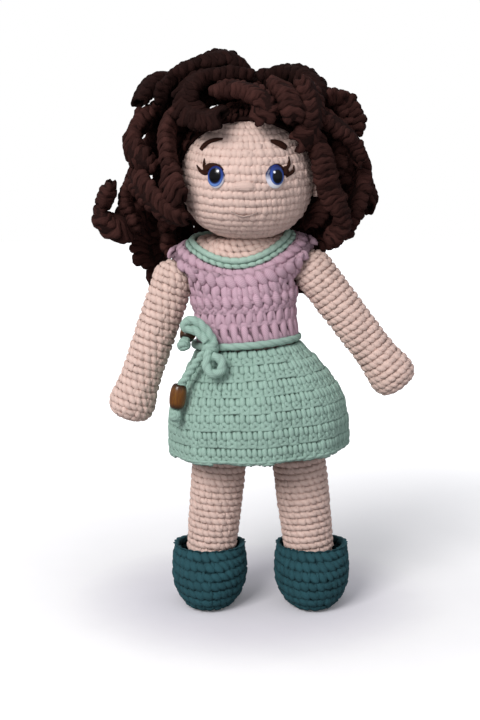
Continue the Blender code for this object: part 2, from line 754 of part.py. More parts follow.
def build_tie():
    knot = knot_centre()
    opening = TIE_OPENING_SHARE * KNOT_RADIUS / CHEST_HALF_WIDTH
    start = KNOT_ANGLE + opening
    end = KNOT_ANGLE + 2 * math.pi - opening
    round_waist = [waist_point(angle, 0.0) for angle in np.linspace(start, end, 36)]
    finish(settled(tube("waist_tie", round_waist, CORD_RADIUS, 2)), MINT)
    finish(ball("bow_knot", knot, KNOT_RADIUS, 16, 10), MINT)
    upper = bow_loop(knot, Vector((-0.66, 0.05, 0.75)), Vector((0.0, -1.0, 0.1)))
    finish(settled(tube("bow_loop_upper", upper, CORD_RADIUS, 2)), MINT)
    lower = bow_loop(knot, Vector((0.33, -0.56, -0.76)), Vector((-0.40, -0.69, 0.60)))
    finish(settled(tube("bow_loop_lower", lower, CORD_RADIUS, 2)), MINT)
    step = CORD_STEP * LOOP_STEP_SHARE
    least = min(least_gap(line, CORD_RADIUS, step) for line in (upper, lower))
    print(f"least gap of a bow loop to itself: {least * 1000:.2f} mm")
    for name, route in (("front", TIE_FRONT_ROUTE), ("back", TIE_BACK_ROUTE)):
        line = even_route(route, CORD_STEP)
        finish(settled(tube("tie_end_" + name, line, CORD_RADIUS, 2)), MINT)
        least = least_gap(line, CORD_RADIUS, CORD_STEP)
        print(f"least gap of the tie's {name} end to itself: {least * 1000:.2f} mm")
        run = Vector(route[-1]) - Vector(route[-2])
        run.normalize()
        end_at = Vector(route[-1]) + run * (END_KNOT_RADIUS + SEAM_GAP)
        finish(ball("end_knot_" + name, end_at, END_KNOT_RADIUS, 14, 8), MINT)
        bead_at = end_at - run * (END_KNOT_RADIUS + SEAM_GAP + BEAD_LENGTH / 2)
        build_bead("bead_" + name, bead_at, run)


def bow_loop(knot, run, facing):
    """A drop-shaped loop of cord that leaves the knot and comes back to it."""
    run = run.normalized()
    across = run.cross(facing).normalized()
    near = KNOT_RADIUS + SEAM_GAP
    half = CORD_RADIUS + SEAM_GAP
    wide = LOOP_HALF_WIDTH
    middle = LOOP_LENGTH - wide
    turn = [(wide * math.cos(a), middle + wide * math.sin(a))
            for a in np.linspace(math.pi, 0, 7)]
    outline = [(-half, near)] + turn + [(half, near)]
    points = [Vector(knot) + across * a + run * b for a, b in outline]
    return even_route(points, CORD_STEP * LOOP_STEP_SHARE)


def build_bead(name, centre, axis):
    """A turned barrel bead with a bore for the cord."""
    half = BEAD_LENGTH / 2
    end = BEAD_RADIUS * BEAD_END_SHARE
    profile = [(BEAD_BORE, half), (end, half)]
    profile += [(end + (BEAD_RADIUS - end) * math.sin(a), half * BEAD_BARREL_SHARE * math.cos(a))
                for a in np.linspace(math.radians(20), math.radians(160), 8)]
    profile += [(end, -half), (BEAD_BORE, -half), (BEAD_BORE, half)]
    bead = turned(name, profile, 20)
    turn = Vector(axis).to_track_quat("Z", "Y").to_matrix().to_4x4()
    bead.matrix_world = Matrix.Translation(Vector(centre)) @ turn
    return finish(settled(bead), AMBER, 0.2)


# Routes of the hair ribbons that show from the front, root to tip, as shares of the head's
# radius from the head's centre
RIBBON_SHARES = {
    "crown_arc": ((-0.06, -0.03, 1.65), (-0.31, -0.09, 1.79), (-0.65, -0.09, 1.74),
                  (-0.99, -0.09, 1.56), (-1.19, -0.09, 1.36), (-1.25, -0.06, 1.16)),
    "crown_tip": ((-1.03, 0.34, 1.43), (-1.21, 0.28, 1.47), (-1.38, 0.22, 1.44),
                  (-1.52, 0.15, 1.32), (-1.62, 0.12, 1.14)),
    "brow_left": ((0.06, -0.31, 1.48), (-0.25, -0.37, 1.48), (-0.58, -0.4, 1.46),
                  (-0.81, -0.46, 1.35), (-0.9, -0.52, 1.14), (-0.86, -0.62, 0.91),
                  (-0.68, -0.77, 0.74), (-0.43, -0.97, 0.71)),
    "temple_left": ((-1.04, -0.34, 1.0), (-1.2, -0.43, 0.75), (-1.23, -0.46, 0.38),
                    (-1.21, -0.46, -0.01), (-1.2, -0.4, -0.38), (-1.15, -0.28, -0.63)),
    "bulge_left": ((-1.43, 0.09, 1.0), (-1.66, 0.03, 0.76), (-1.74, -0.03, 0.5),
                   (-1.65, -0.09, 0.27), (-1.44, -0.15, 0.12)),
    "cheek_left": ((-1.43, 0.34, 0.18), (-1.64, 0.15, 0.06), (-1.7, -0.03, -0.18),
                   (-1.54, -0.18, -0.44), (-1.3, -0.28, -0.68), (-1.04, -0.28, -0.81)),
    "side_curl": ((-1.32, 0.52, -0.13), (-1.56, 0.4, -0.44), (-1.83, 0.22, -0.7),
                  (-2.06, 0.06, -0.74), (-2.21, 0.03, -0.55), (-2.14, 0.09, -0.33),
                  (-2.06, 0.12, -0.13)),
    "back_drop_left": ((-1.25, 0.86, -0.39), (-1.37, 0.95, -0.77), (-1.47, 1.02, -1.08),
                       (-1.48, 1.07, -1.38), (-1.46, 1.07, -1.62)),
    "fringe": ((-0.66, -0.65, 1.25), (-0.35, -0.83, 1.21), (-0.09, -0.95, 1.12),
               (0.03, -1.05, 0.95), (-0.11, -1.02, 0.84)),
    "top_loop": ((0.22, 0.28, 1.55), (0.53, 0.09, 1.65), (0.83, 0.03, 1.61), (1.0, -0.15, 1.46),
                 (0.85, -0.34, 1.32), (0.57, -0.34, 1.36), (0.3, -0.34, 1.33)),
    "brow_right": ((0.28, -0.65, 1.31), (0.53, -0.71, 1.19), (0.65, -0.83, 0.99),
                   (0.64, -0.86, 0.77), (0.51, -0.92, 0.64)),
    "brow_middle": ((0.09, -0.71, 1.25), (0.23, -0.92, 1.11), (0.31, -1.05, 0.88),
                    (0.35, -1.03, 0.71)),
    "loop_right": ((0.87, 0.09, 1.17), (1.16, 0.03, 1.21), (1.45, 0.09, 1.17),
                   (1.64, 0.09, 0.98), (1.69, 0.15, 0.76)),
    "temple_right": ((0.77, -0.46, 1.02), (1.1, -0.43, 0.86), (1.36, -0.34, 0.67),
                     (1.57, -0.22, 0.45), (1.7, -0.09, 0.19)),
    "cheek_right": ((0.78, -0.74, 0.63), (0.95, -0.71, 0.38), (1.08, -0.6, 0.11),
                    (1.21, -0.43, -0.2), (1.39, -0.31, -0.46), (1.43, -0.22, -0.72),
                    (1.28, -0.09, -0.88)),
    "side_right": ((1.57, 0.46, 0.25), (1.7, 0.34, -0.0), (1.73, 0.25, -0.25),
                   (1.67, 0.26, -0.50), (1.57, 0.34, -0.74), (1.41, 0.46, -0.91),
                   (1.22, 0.56, -1.00)),
    "nape_right": ((1.21, 0.71, -0.2), (1.08, 0.68, -0.51), (1.05, 0.65, -0.8),
                   (1.15, 0.83, -1.06)),
    "tip_right": ((1.4, 0.77, 0.25), (1.62, 0.71, 0.02), (1.82, 0.58, -0.16),
                  (1.85, 0.4, -0.41)),
    "rear_right": ((1.13, 0.52, 0.88), (1.35, 0.46, 0.59), (1.44, 0.46, 0.25),
                   (1.43, 0.52, -0.13)),
    "rear_left": ((-1.19, 0.52, 0.75), (-1.39, 0.46, 0.43), (-1.44, 0.52, 0.06)),
    "back_drop_right": ((0.65, 1.14, 0.05), (0.84, 1.08, -0.5), (0.94, 1.02, -0.98),
                        (0.9, 0.98, -1.46), (0.86, 0.98, -1.76)),
    "back_drop_neck": ((-0.71, 1.14, -0.01), (-0.9, 1.08, -0.53), (-0.96, 1.02, -0.98),
                       (-0.93, 1.02, -1.39)),
}

# Rear curls: azimuth from the doll's left side round the back, and where each starts and
# ends as shares of the head's radius, (start out, start up, end out, end up)
REAR_CURL_SHARES = (
    (30, 0.86, 1.16, 1.36, -0.30), (66, 0.84, 1.20, 1.30, -0.45),
    (102, 0.84, 1.20, 1.30, -0.35), (138, 0.86, 1.16, 1.36, -0.42),
    (48, 1.28, 0.62, 1.20, -0.88), (84, 1.28, 0.62, 1.16, -1.15),
    (120, 1.28, 0.62, 1.16, -0.88), (159, 1.28, 0.62, 1.26, -0.66),
)
REAR_BULGE_SHARE = 0.05

# How ribbons are eased apart and onto each other: rounds, the part of an overlap or of a gap
# taken back in each, the pull towards the drawn line, and the smoothing along a ribbon
EASE_ROUNDS = 300
EASE_SHARES = (0.30, 0.20, 0.004, 0.30)
EASE_AXES_SHARES = (0.55, 1.0, 0.55)
NEIGHBOUR_SHARE = 3.4      # ribbon radii along a ribbon within which it may touch itself
CROWN_SHARE = 0.02         # how much taller than wide the cap is


def rear_curl(azimuth, start_out, start_up, end_out, end_up):
    """A corkscrew that hangs down the back of the head."""
    turns = REAR_CURL_TURNS
    count = int(9 * turns) + 1
    outward = np.array([math.cos(azimuth), math.sin(azimuth), 0.0])
    sideways = np.array([-math.sin(azimuth), math.cos(azimuth), 0.0])
    points = []
    for share in np.linspace(0, 1, count):
        bulge = REAR_BULGE_SHARE * math.sin(math.pi * share)
        out = (start_out + (end_out - start_out) * share + bulge) * HEAD_RADIUS
        up = (start_up + (end_up - start_up) * share) * HEAD_RADIUS
        swing = 2 * math.pi * turns * share
        points.append(outward * (out + REAR_CURL_RADIUS * math.cos(swing))
                      + sideways * REAR_CURL_RADIUS * math.sin(swing) + np.array([0, 0, up]))
    return np.array(points)


def ribbon_lines():
    """Every hair ribbon's middle line, from the head's centre, at half the final spacing."""
    lines = {}
    for name, shares in RIBBON_SHARES.items():
        lines["hair_" + name] = even_route(np.array(shares) * HEAD_RADIUS, RIBBON_STEP / 2)
    for number, (degrees, *shares) in enumerate(REAR_CURL_SHARES, 1):
        line = rear_curl(math.radians(degrees), *shares)
        lines[f"hair_rear_curl_{number}"] = even_route(line, RIBBON_STEP / 2)
    return lines


def cap_edge():
    """A point of the plane that ends the cap at the face, and the way the plane faces."""
    hairline = np.array([0, *CAP_HAIRLINE_SHARES]) * HEAD_RADIUS
    beside_ear = np.array([0, *CAP_SIDE_SHARES]) * HEAD_RADIUS
    forward = np.cross((1, 0, 0), hairline - beside_ear)
    return hairline, forward / np.linalg.norm(forward)


def seats(nearest, from_cap):
    """For each ribbon, the one that carries it, or -1 for the cap, by the shortest ways."""
    carrier = np.full(len(from_cap), -1)
    way = from_cap.copy()
    waiting = set(range(len(from_cap)))
    while waiting:
        ribbon = min(waiting, key=lambda k: way[k])
        waiting.remove(ribbon)
        for other in waiting:
            if nearest[ribbon, other] < way[other]:
                way[other] = nearest[ribbon, other]
                carrier[other] = ribbon
    return carrier, way


def settle_ribbons(lines):
    """Ease ribbons off each other and off the cap, and seat each on what carries it."""
    push_share, pull_share, home_share, smooth_share = EASE_SHARES
    names = list(lines)
    counts = [len(lines[name]) for name in names]
    starts = np.concatenate([[0], np.cumsum(counts)[:-1]])
    spots = np.concatenate([lines[name] for name in names])
    owner = np.repeat(np.arange(len(names)), counts)
    index = np.arange(len(spots))
    home = spots.copy()
    own = owner[:, None] == owner[None, :]
    follows = np.flatnonzero((owner[1:-1] == owner[:-2]) & (owner[1:-1] == owner[2:])) + 1
    apart_by = np.abs(index[:, None] - index[None, :]) * RIBBON_STEP / 2
    free = ~(own & (apart_by < NEIGHBOUR_SHARE * RIBBON_RADIUS))
    into = np.concatenate([np.minimum(range(n), range(n)[::-1]) for n in counts])
    ends = into * RIBBON_STEP < RIBBON_RADIUS
    hairline, forward = cap_edge()
    want = 2 * RIBBON_RADIUS + RIBBON_GAP
    for _ in range(EASE_ROUNDS):
        away = spots[:, None, :] - spots[None, :, :]
        apart = np.maximum(np.linalg.norm(away, axis=2), SEAM_GAP)
        push = np.where(free & (apart < want), (want - apart) / apart, 0.0)
        move = push_share * (push[:, :, None] * away).sum(axis=1) * EASE_AXES_SHARES
        far = np.linalg.norm(spots, axis=1)
        crown = 1 + CROWN_SHARE * np.maximum(spots[:, 2] / far, 0)
        wall = np.where((spots - hairline) @ forward < RIBBON_RADIUS, CAP_WALL, 0.0)
        seat = HEAD_RADIUS * crown + SEAM_GAP + wall + RIBBON_GAP + RIBBON_RADIUS
        over = far - seat
        gaps = np.where(own | ends[:, None] | ends[None, :], np.inf, apart)
        nearest = np.minimum.reduceat(np.minimum.reduceat(gaps, starts, axis=0), starts, axis=1)
        carrier, way = seats(nearest - want, np.minimum.reduceat(over + far * ends, starts))
        for ribbon, on in enumerate(carrier):
            mine = slice(starts[ribbon], starts[ribbon] + counts[ribbon])
            if way[ribbon] <= 0:
                continue
            if on < 0:
                low = starts[ribbon] + int(np.argmin((over + far * ends)[mine]))
                towards = -spots[low] / far[low]
            else:
                theirs = slice(starts[on], starts[on] + counts[on])
                low, at = np.unravel_index(np.argmin(gaps[mine, theirs]), gaps[mine, theirs].shape)
                towards = -away[starts[ribbon] + low, starts[on] + at]
                towards = towards / np.linalg.norm(towards)
            move[mine] += pull_share * way[ribbon] * towards
        spots = spots + move + home_share * (home - spots)
        spots = np.where((over < 0)[:, None], spots * (seat / far)[:, None], spots)
        drift = spots - home
        bend = drift[follows - 1] + drift[follows + 1] - 2 * drift[follows]
        drift[follows] += smooth_share * bend
        spots = home + drift
    return {name: even_route(spots[owner == k], RIBBON_STEP) for k, name in enumerate(names)}


def least_gap(line, radius, step):
    """Least distance between a tube's skin and itself, past the length of one bend."""
    reach = int(math.ceil(math.pi * radius / step))
    least = math.inf
    for i in range(len(line)):
        for j in range(i + reach, len(line)):
            least = min(least, np.linalg.norm(line[i] - line[j]) - 2 * radius)
    return least


def build_hair():
    build_cap()
    lines = settle_ribbons(ribbon_lines())
    for name, line in lines.items():
        ribbon = tube(name, line + head_centre(), RIBBON_RADIUS, 1)
        finish(settled(ribbon), BROWN)
    least = min(least_gap(line, RIBBON_RADIUS, RIBBON_STEP) for line in lines.values())
    print(f"least gap of a hair ribbon to itself: {least * 1000:.2f} mm")


def build_cap():
    """Crocheted cap over the back and top of the head, open at the face."""
    profile = [(r, z) for r, z in head_profile(SEAM_GAP)[:-2]]
    cap = turned("hair_cap", profile, HEAD_STEPS)
    cap = settled(cap)
    work = bmesh.new()
    work.from_mesh(cap.data)
    nape = (0, 0, CAP_NAPE_SHARE * HEAD_RADIUS)
    for point, facing in (cap_edge(), (nape, (0, 0, -1))):
        bmesh.ops.bisect_plane(work, geom=work.verts[:] + work.edges[:] + work.faces[:],
                               plane_co=point, plane_no=facing, clear_outer=True)
    work.to_mesh(cap.data)
    work.free()
    cap.location = head_centre()
    wall = cap.modifiers.new("wall", "SOLIDIFY")
    wall.thickness = CAP_WALL
    wall.offset = 1.0
    finish(settled(cap), BROWN)


def hold(name, at, pieces):
    """An empty on a joint's axis that carries the pieces moving about it."""
    empty = place(name, None)
    empty.location = at
    bpy.context.view_layer.update()
    for piece in pieces:
        piece.parent = empty
        piece.matrix_parent_inverse = empty.matrix_world.inverted()


def hold_moving_pieces():
    pieces = list(collection(COLLECTION).objects)
    on_head = [piece for piece in pieces
               if piece.name in ("head", "nose") or piece.name[:4] in ("hair", "eye_", "ear_")]
    hold("head_turn_axis", neck_top(), on_head)
    for side, name in ((-1, "right"), (1, "left")):
        limb = [piece for piece in pieces if piece.name == "arm_" + name]
        hold("shoulder_axis_" + name, shoulder(side), limb)
        limb = [piece for piece in pieces if piece.name in ("leg_" + name, "shoe_" + name)]
        hold("hip_axis_" + name, hip(side), limb)


clear_scene()
build_body()
build_head()
build_face()
for hand in (-1, 1):
    build_arm(hand)
    build_leg(hand)
    build_shoe(hand)
build_dress()
build_tie()
build_hair()
hold_moving_pieces()
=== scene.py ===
"""A crocheted doll with ribbon curls, a dress with a tied cord, and slippers.

Every soft piece is a darkened cloth, painted shade for the gaps, under rounds of single stitches,
which Geometry Nodes lay over the piece's own surface. Metres, +Z up, and the doll faces -Y.
"""

import json
import math

import bmesh
import bpy
import numpy as np
from mathutils import Matrix, Vector


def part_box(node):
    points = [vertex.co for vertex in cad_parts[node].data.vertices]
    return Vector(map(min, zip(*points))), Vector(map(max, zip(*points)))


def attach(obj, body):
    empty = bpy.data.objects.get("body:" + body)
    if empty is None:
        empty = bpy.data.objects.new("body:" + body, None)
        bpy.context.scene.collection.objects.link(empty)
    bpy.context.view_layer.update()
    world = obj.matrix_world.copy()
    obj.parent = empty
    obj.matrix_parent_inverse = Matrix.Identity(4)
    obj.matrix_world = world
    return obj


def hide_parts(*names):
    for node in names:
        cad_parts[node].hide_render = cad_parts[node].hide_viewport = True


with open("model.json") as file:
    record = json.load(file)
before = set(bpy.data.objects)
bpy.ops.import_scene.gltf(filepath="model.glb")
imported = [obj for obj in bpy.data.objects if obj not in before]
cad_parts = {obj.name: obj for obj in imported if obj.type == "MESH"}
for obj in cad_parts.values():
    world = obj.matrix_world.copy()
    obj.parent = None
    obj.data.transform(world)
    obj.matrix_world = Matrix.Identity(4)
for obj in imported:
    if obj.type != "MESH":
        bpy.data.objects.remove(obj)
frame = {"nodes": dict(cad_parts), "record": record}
BODY_OF = {node: body for body, nodes in frame["record"]["behaviour"]["bodies"].items()
           for node in nodes}
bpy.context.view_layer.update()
rng = np.random.default_rng(7)

# Camera
CAMERA_AT = Vector((-0.00625, -0.650, 0.2211))
CAMERA_DOWN = math.radians(8.6)
CAMERA_LENS = 65.5
SENSOR = 36.0

# The part's own sizes, in metres
HIP_HEIGHT, WAIST_HEIGHT, NECKLINE_HEIGHT, HEAD_HEIGHT = 0.0800, 0.1335, 0.1865, 0.2135
CHEST_HALF_WIDTH, CHEST_HALF_DEPTH = 0.0253, 0.0215
TRUNK_LEAN, SHOULDER_SLOPE_SHARE = 0.0033, 0.08
HEAD_RADIUS, HEAD_CENTRE = 0.0325, np.array([-0.0028, -0.0055, 0.2135])
NECK_TOP, NECK_RADIUS = np.array([-0.0028, -0.00275, 0.18975]), 0.0110
ARM_LENGTH, ARM_RADIUS, HAND_RADIUS = 0.0760, 0.0103, 0.0115
LEG_RADIUS, ANKLE_RADIUS = 0.0133, 0.0122
SHOE_HEIGHT, SHOE_HALF_WIDTH, SHOE_TOE, SHOE_HEEL = 0.0285, 0.0187, 0.0290, 0.0175
SKIRT_DROP, SKIRT_HALF_WIDTH, SKIRT_HALF_DEPTH = 0.0560, 0.0458, 0.0388
SKIRT_FOLD, SKIRT_FOLDS, HEM_LEVEL_SHARE = 0.0009, 8, 0.35
CORD_RADIUS, KNOT_RADIUS, END_KNOT_RADIUS = 0.00175, 0.0038, 0.0031
BEAD_LENGTH, BEAD_RADIUS, BEAD_BORE = 0.0120, 0.0041, 0.00215
RIBBON_HALF_WIDTH, RIBBON_HALF_DEPTH = 0.0054, 0.0043
SHOULDERS = {1: np.array([0.03029, 0, 0.1677]), -1: np.array([-0.03951, 0, 0.1630])}
HIPS = {1: np.array([0.0226, 0, 0.0800]), -1: np.array([-0.0159, 0, 0.0800])}
ARM_SPREADS = {1: math.radians(37.3), -1: math.radians(18.8)}
LEG_SPREADS = {1: math.radians(6.8), -1: math.radians(5.1)}
SIDE_NAMES = {1: "left", -1: "right"}

# Stitch sizes, in metres
FACE_ROUND, FACE_STITCH = 0.0040, 0.0052
ARM_ROUND, ARM_STITCH = 0.0036, 0.0037
LEG_ROUND, LEG_STITCH = 0.0033, 0.0037
SHOE_ROUND, SHOE_STITCH = 0.0045, 0.0043
DRESS_ROUND, DRESS_STITCH = 0.0085, 0.0052
TRIM_STITCH = 0.0040
RIB_STEP = 0.0028
HEAD_ROUND_TILT = math.radians(9.0)
SIDES = 96                 # points of each ring round the head, trunk and slippers

# Colours, linear
SKIN = (0.83, 0.615, 0.545)
LILAC = (0.60, 0.395, 0.485)
MINT = (0.36, 0.53, 0.455)
TRIM_MINT = (0.42, 0.60, 0.51)
TEAL = (0.022, 0.085, 0.105)
BROWN = (0.046, 0.0175, 0.0148)
THREAD_BROWN = (0.040, 0.013, 0.008)


# Finishes
def feed(tree, node, inputs):
    """Set each named input to a value, or link it to the socket that feeds it."""
    for name, value in inputs.items():
        if isinstance(value, bpy.types.NodeSocket):
            tree.links.new(value, node.inputs[name])
        else:
            node.inputs[name].default_value = value


def wire(tree, kind, inputs=None, **settings):
    """A new node with its settings and its inputs."""
    made = tree.nodes.new(kind)
    for name, value in settings.items():
        setattr(made, name, value)
    feed(tree, made, inputs or {})
    return made


def blank_finish(name, roughness, **sockets):
    """A material with its node tree and its shader."""
    made = bpy.data.materials.new(name)
    made.use_nodes = True
    tree = made.node_tree
    shader = tree.nodes["Principled BSDF"]
    feed(tree, shader, {"Roughness": roughness})
    feed(tree, shader, {socket.replace("_", " "): value for socket, value in sockets.items()})
    return made, tree, shader


def ramp(tree, fed, stops):
    """The colour that a fed value takes between stops."""
    made = wire(tree, "ShaderNodeValToRGB", {"Fac": fed})
    while len(made.color_ramp.elements) < len(stops):
        made.color_ramp.elements.new(0.5)
    for element, (place, colour) in zip(made.color_ramp.elements, stops):
        element.position = place
        element.color = (*colour, 1.0)
    return made.outputs["Color"]


def multiply(tree, first, second):
    return wire(tree, "ShaderNodeMix", {"Factor": 1.0, "A": first, "B": second},
                data_type="RGBA", blend_type="MULTIPLY").outputs["Result"]


def noise(tree, at, **inputs):
    return wire(tree, "ShaderNodeTexNoise", {"Vector": at, **inputs}).outputs["Fac"]


def bump(tree, height, strength, distance, under=None, **settings):
    inputs = {"Height": height, "Strength": strength, "Distance": distance}
    if under is not None:
        inputs["Normal"] = under
    return wire(tree, "ShaderNodeBump", inputs, **settings).outputs["Normal"]


def own_place(tree):
    return wire(tree, "ShaderNodeTexCoord").outputs["Object"]


def strand_map(tree):
    return wire(tree, "ShaderNodeUVMap", uv_map="strand").outputs["UV"]


def stored(tree, name):
    return wire(tree, "ShaderNodeAttribute", attribute_name=name).outputs["Fac"]


def for_camera(tree, other, seen):
    """One shader for what the camera sees, and another for the rest of the light."""
    ray = wire(tree, "ShaderNodeLightPath").outputs["Is Camera Ray"]
    return wire(tree, "ShaderNodeMixShader", {"Fac": ray, 1: other, 2: seen}).outputs["Shader"]


def shade(colour, factor):
    return tuple(min(1.0, c * factor) for c in colour)


def yarn(name, colour, spread=0.16, sheen=0.25, ply=9.0, depth=0.45, gloss=0.25,
         hairy=0.00016, patch=130.0):
    """Cotton or chenille yarn: plied strands, a fine fuzz, stitches that differ in tone, and
    painted shade low in the crevices and in the grooves between plies.
    """
    made, tree, shader = blank_finish(name, 0.88, Sheen_Weight=sheen, Sheen_Roughness=0.45,
                                      Specular_IOR_Level=gloss,
                                      Sheen_Tint=(*shade(colour, 1.25), 1.0))
    at = own_place(tree)
    wave = wire(tree, "ShaderNodeTexWave",
                {"Vector": strand_map(tree), "Scale": ply, "Distortion": 0.6},
                wave_type="BANDS", bands_direction="DIAGONAL").outputs["Fac"]
    fuzz = noise(tree, at, Scale=3200.0, Detail=4.0, Roughness=0.7)
    blotch = noise(tree, at, Scale=patch, Detail=2.0)
    part = wire(tree, "ShaderNodeMath", {0: blotch, 1: 0.45}, operation="MULTIPLY").outputs[0]
    tone = wire(tree, "ShaderNodeMath", {0: stored(tree, "tone"), 1: 0.55, 2: part},
                operation="MULTIPLY_ADD").outputs[0]
    seen = ramp(tree, tone, [(0.0, shade(colour, 1 - spread)),
                             (1.0, shade(colour, 1 + 0.6 * spread))])
    # Painted shade: depth darkens the colour where the stored rise is low, down in the crevices,
    # and the ply bands darken the grooves between plies.
    for fed, low, end in ((stored(tree, "rise"), 1 - depth, 0.75), (wave, 0.80, 0.5)):
        seen = multiply(tree, seen, ramp(tree, fed, [(0.0, (low,) * 3), (end, (1.0,) * 3)]))
    plied = bump(tree, wave, 0.55, 0.00022)
    feed(tree, shader, {"Base Color": seen, "Normal": bump(tree, fuzz, 0.5, hairy, plied)})
    return made


def cloth(name, colour, factor):
    """What shows between the stitches: the same yarn, darkened as painted shade for the gaps, and
    darker again towards the edges of its weave cells.
    """
    made, tree, shader = blank_finish(name, 0.95, Specular_IOR_Level=0.1)
    weave = wire(tree, "ShaderNodeTexVoronoi",
                 {"Vector": own_place(tree), "Scale": 700.0}).outputs["Distance"]
    seen = ramp(tree, weave, [(0.0, shade(colour, factor * 1.15)),
                              (0.8, shade(colour, factor * 0.7))])
    feed(tree, shader, {"Base Color": seen,
                        "Normal": bump(tree, weave, 0.6, 0.0003, invert=True)})
    return made


def grained(name, roughness, scale, stops):
    """A plain finish whose tone varies a little over the piece."""
    made, tree, shader = blank_finish(name, roughness)
    feed(tree, shader,
         {"Base Color": ramp(tree, noise(tree, own_place(tree), Scale=scale), stops)})
    return made


CHENILLE = {"spread": 0.62, "sheen": 0.05, "ply": 4.0, "depth": 0.50, "gloss": 0.06,
            "hairy": 0.00045, "patch": 420.0}
# depth sets how strongly each yarn takes its painted crevice shade.
YARNS = {
    "skin": yarn("skin_cotton", SKIN, 0.11, depth=0.24, hairy=0.00026),
    "lilac": yarn("lilac_cotton", LILAC, 0.12, depth=0.30, hairy=0.00030),
    "mint": yarn("mint_cotton", MINT, 0.10, depth=0.28, hairy=0.00030),
    "trim": yarn("trim_cotton", TRIM_MINT, 0.08, depth=0.25, hairy=0.00026),
    "teal": yarn("teal_cotton", TEAL, 0.20, 0.15, depth=0.35, hairy=0.00030),
    # A lighter copy of the skin yarn: painted light for the raised nose.
    "nose": yarn("nose_painted_light_cotton", shade(SKIN, 1.10), 0.08, 0.30, depth=0.16, hairy=0.00020),
    "thread": yarn("brown_thread", THREAD_BROWN, 0.15, 0.05, ply=14.0, gloss=0.12),
    "brown": yarn("brown_chenille", BROWN, **CHENILLE),
    # A darker copy of the brown chenille: painted shade on the top of the hair.
    "shadow": yarn("painted_shade_chenille", shade(BROWN, 0.42), **CHENILLE),
}
# Each cloth is its yarn times a factor below one: painted shade in the gaps between the stitches.
CLOTHS = {name: cloth(name + "_ground", colour, factor) for name, colour, factor in (
    ("skin", SKIN, 0.78), ("lilac", LILAC, 0.46), ("mint", MINT, 0.56),
    ("trim", TRIM_MINT, 0.62), ("teal", TEAL, 0.50), ("brown", BROWN, 0.40))}


# Meshes
TEMPLATES = []


def place(name, data, finish=None):
    piece = bpy.data.objects.new(name, data)
    bpy.context.scene.collection.objects.link(piece)
    if finish is not None:
        data.materials.clear()
        data.materials.append(finish)
    return piece


def template(name, data):
    """A shape that is only laid on points, and is taken away at the end."""
    piece = place(name, data)
    piece.hide_render = True
    piece.hide_viewport = True
    TEMPLATES.append(piece)
    return piece


def reworked(data, change):
    work = bmesh.new()
    work.from_mesh(data)
    change(work)
    work.to_mesh(data)
    work.free()
    return data


def joined(data, distance):
    return reworked(data, lambda work: bmesh.ops.remove_doubles(work, verts=work.verts,
                                                                dist=distance))


def faced_out(data):
    return reworked(data, lambda work: bmesh.ops.recalc_face_normals(work, faces=work.faces))


def circle(count):
    return np.linspace(0, 2 * math.pi, count, endpoint=False)


def lathe(profile, sides):
    """Rings about Z, one for each (radius, height)."""
    angles = circle(sides)
    return np.stack([profile[:, :1] * np.cos(angles), profile[:, :1] * np.sin(angles),
                     np.repeat(profile[:, 1:], sides, axis=1)], axis=2)


def smooth_steps(values, count):
    """Values of a table's columns at even steps along a smooth curve through its rows."""
    rows = np.array(values, dtype=float)
    padded = np.vstack([2 * rows[0] - rows[1], rows, 2 * rows[-1] - rows[-2]])
    made = []
    for at in np.linspace(0, len(rows) - 1, count):
        low = min(int(at), len(rows) - 2)
        t = at - low
        a, b, c, d = padded[low:low + 4]
        made.append(0.5 * (2 * b + (c - a) * t + (2 * a - 5 * b + 4 * c - d) * t ** 2
                           + (3 * b - a - 3 * c + d) * t ** 3))
    return np.array(made)


def run_of(points):
    return np.concatenate([[0], np.cumsum(np.linalg.norm(np.diff(points, axis=0), axis=1))])


def along(points, run, wanted):
    return np.column_stack([np.interp(wanted, run, points[:, k]) for k in range(points.shape[1])])


def even_route(points, step):
    """Points at an even spacing along a smooth curve through the given ones."""
    fine = smooth_steps(points, 24 * len(points))
    run = run_of(fine)
    count = max(4, int(round(run[-1] / step)) + 1)
    return along(fine, run, np.linspace(0, run[-1], count))


def unit(vectors):
    size = np.linalg.norm(vectors, axis=-1, keepdims=True)
    return vectors / np.maximum(size, 1e-12)


def frames_along(line, towards=None):
    """Tangent, sideways and outward directions along a line, turned as little as can be."""
    tangent = unit(np.gradient(line, axis=0))
    if towards is not None:
        out = unit(towards - tangent * np.sum(towards * tangent, axis=1, keepdims=True))
        return tangent, np.cross(out, tangent), out
    out = np.zeros_like(line)
    seed = np.array([0.13, -0.9, 0.4])
    for k, way in enumerate(tangent):
        seed = seed - way * np.dot(seed, way)
        seed = seed / np.linalg.norm(seed)
        out[k] = seed
    return tangent, np.cross(out, tangent), out


def skin(rings, cyclic=False):
    """Vertices, faces, and strand coordinates of a tube over a list of rings."""
    rows, sides, _ = rings.shape
    faces = []
    coordinates = []
    for row in range(rows if cyclic else rows - 1):
        above = (row + 1) % rows
        for side in range(sides):
            after = (side + 1) % sides
            faces.append((row * sides + side, row * sides + after,
                          above * sides + after, above * sides + side))
            low, high = row / rows, (row + 1) / rows
            left, right = side / sides, (side + 1) / sides
            coordinates.extend([(low, left), (low, right), (high, right), (high, left)])
    if not cyclic:
        faces.append(tuple(range(sides))[::-1])
        faces.append(tuple(range((rows - 1) * sides, rows * sides)))
        coordinates.extend([(0.0, 0.0)] * sides + [(1.0, 0.0)] * sides)
    return rings.reshape(-1, 3), faces, coordinates


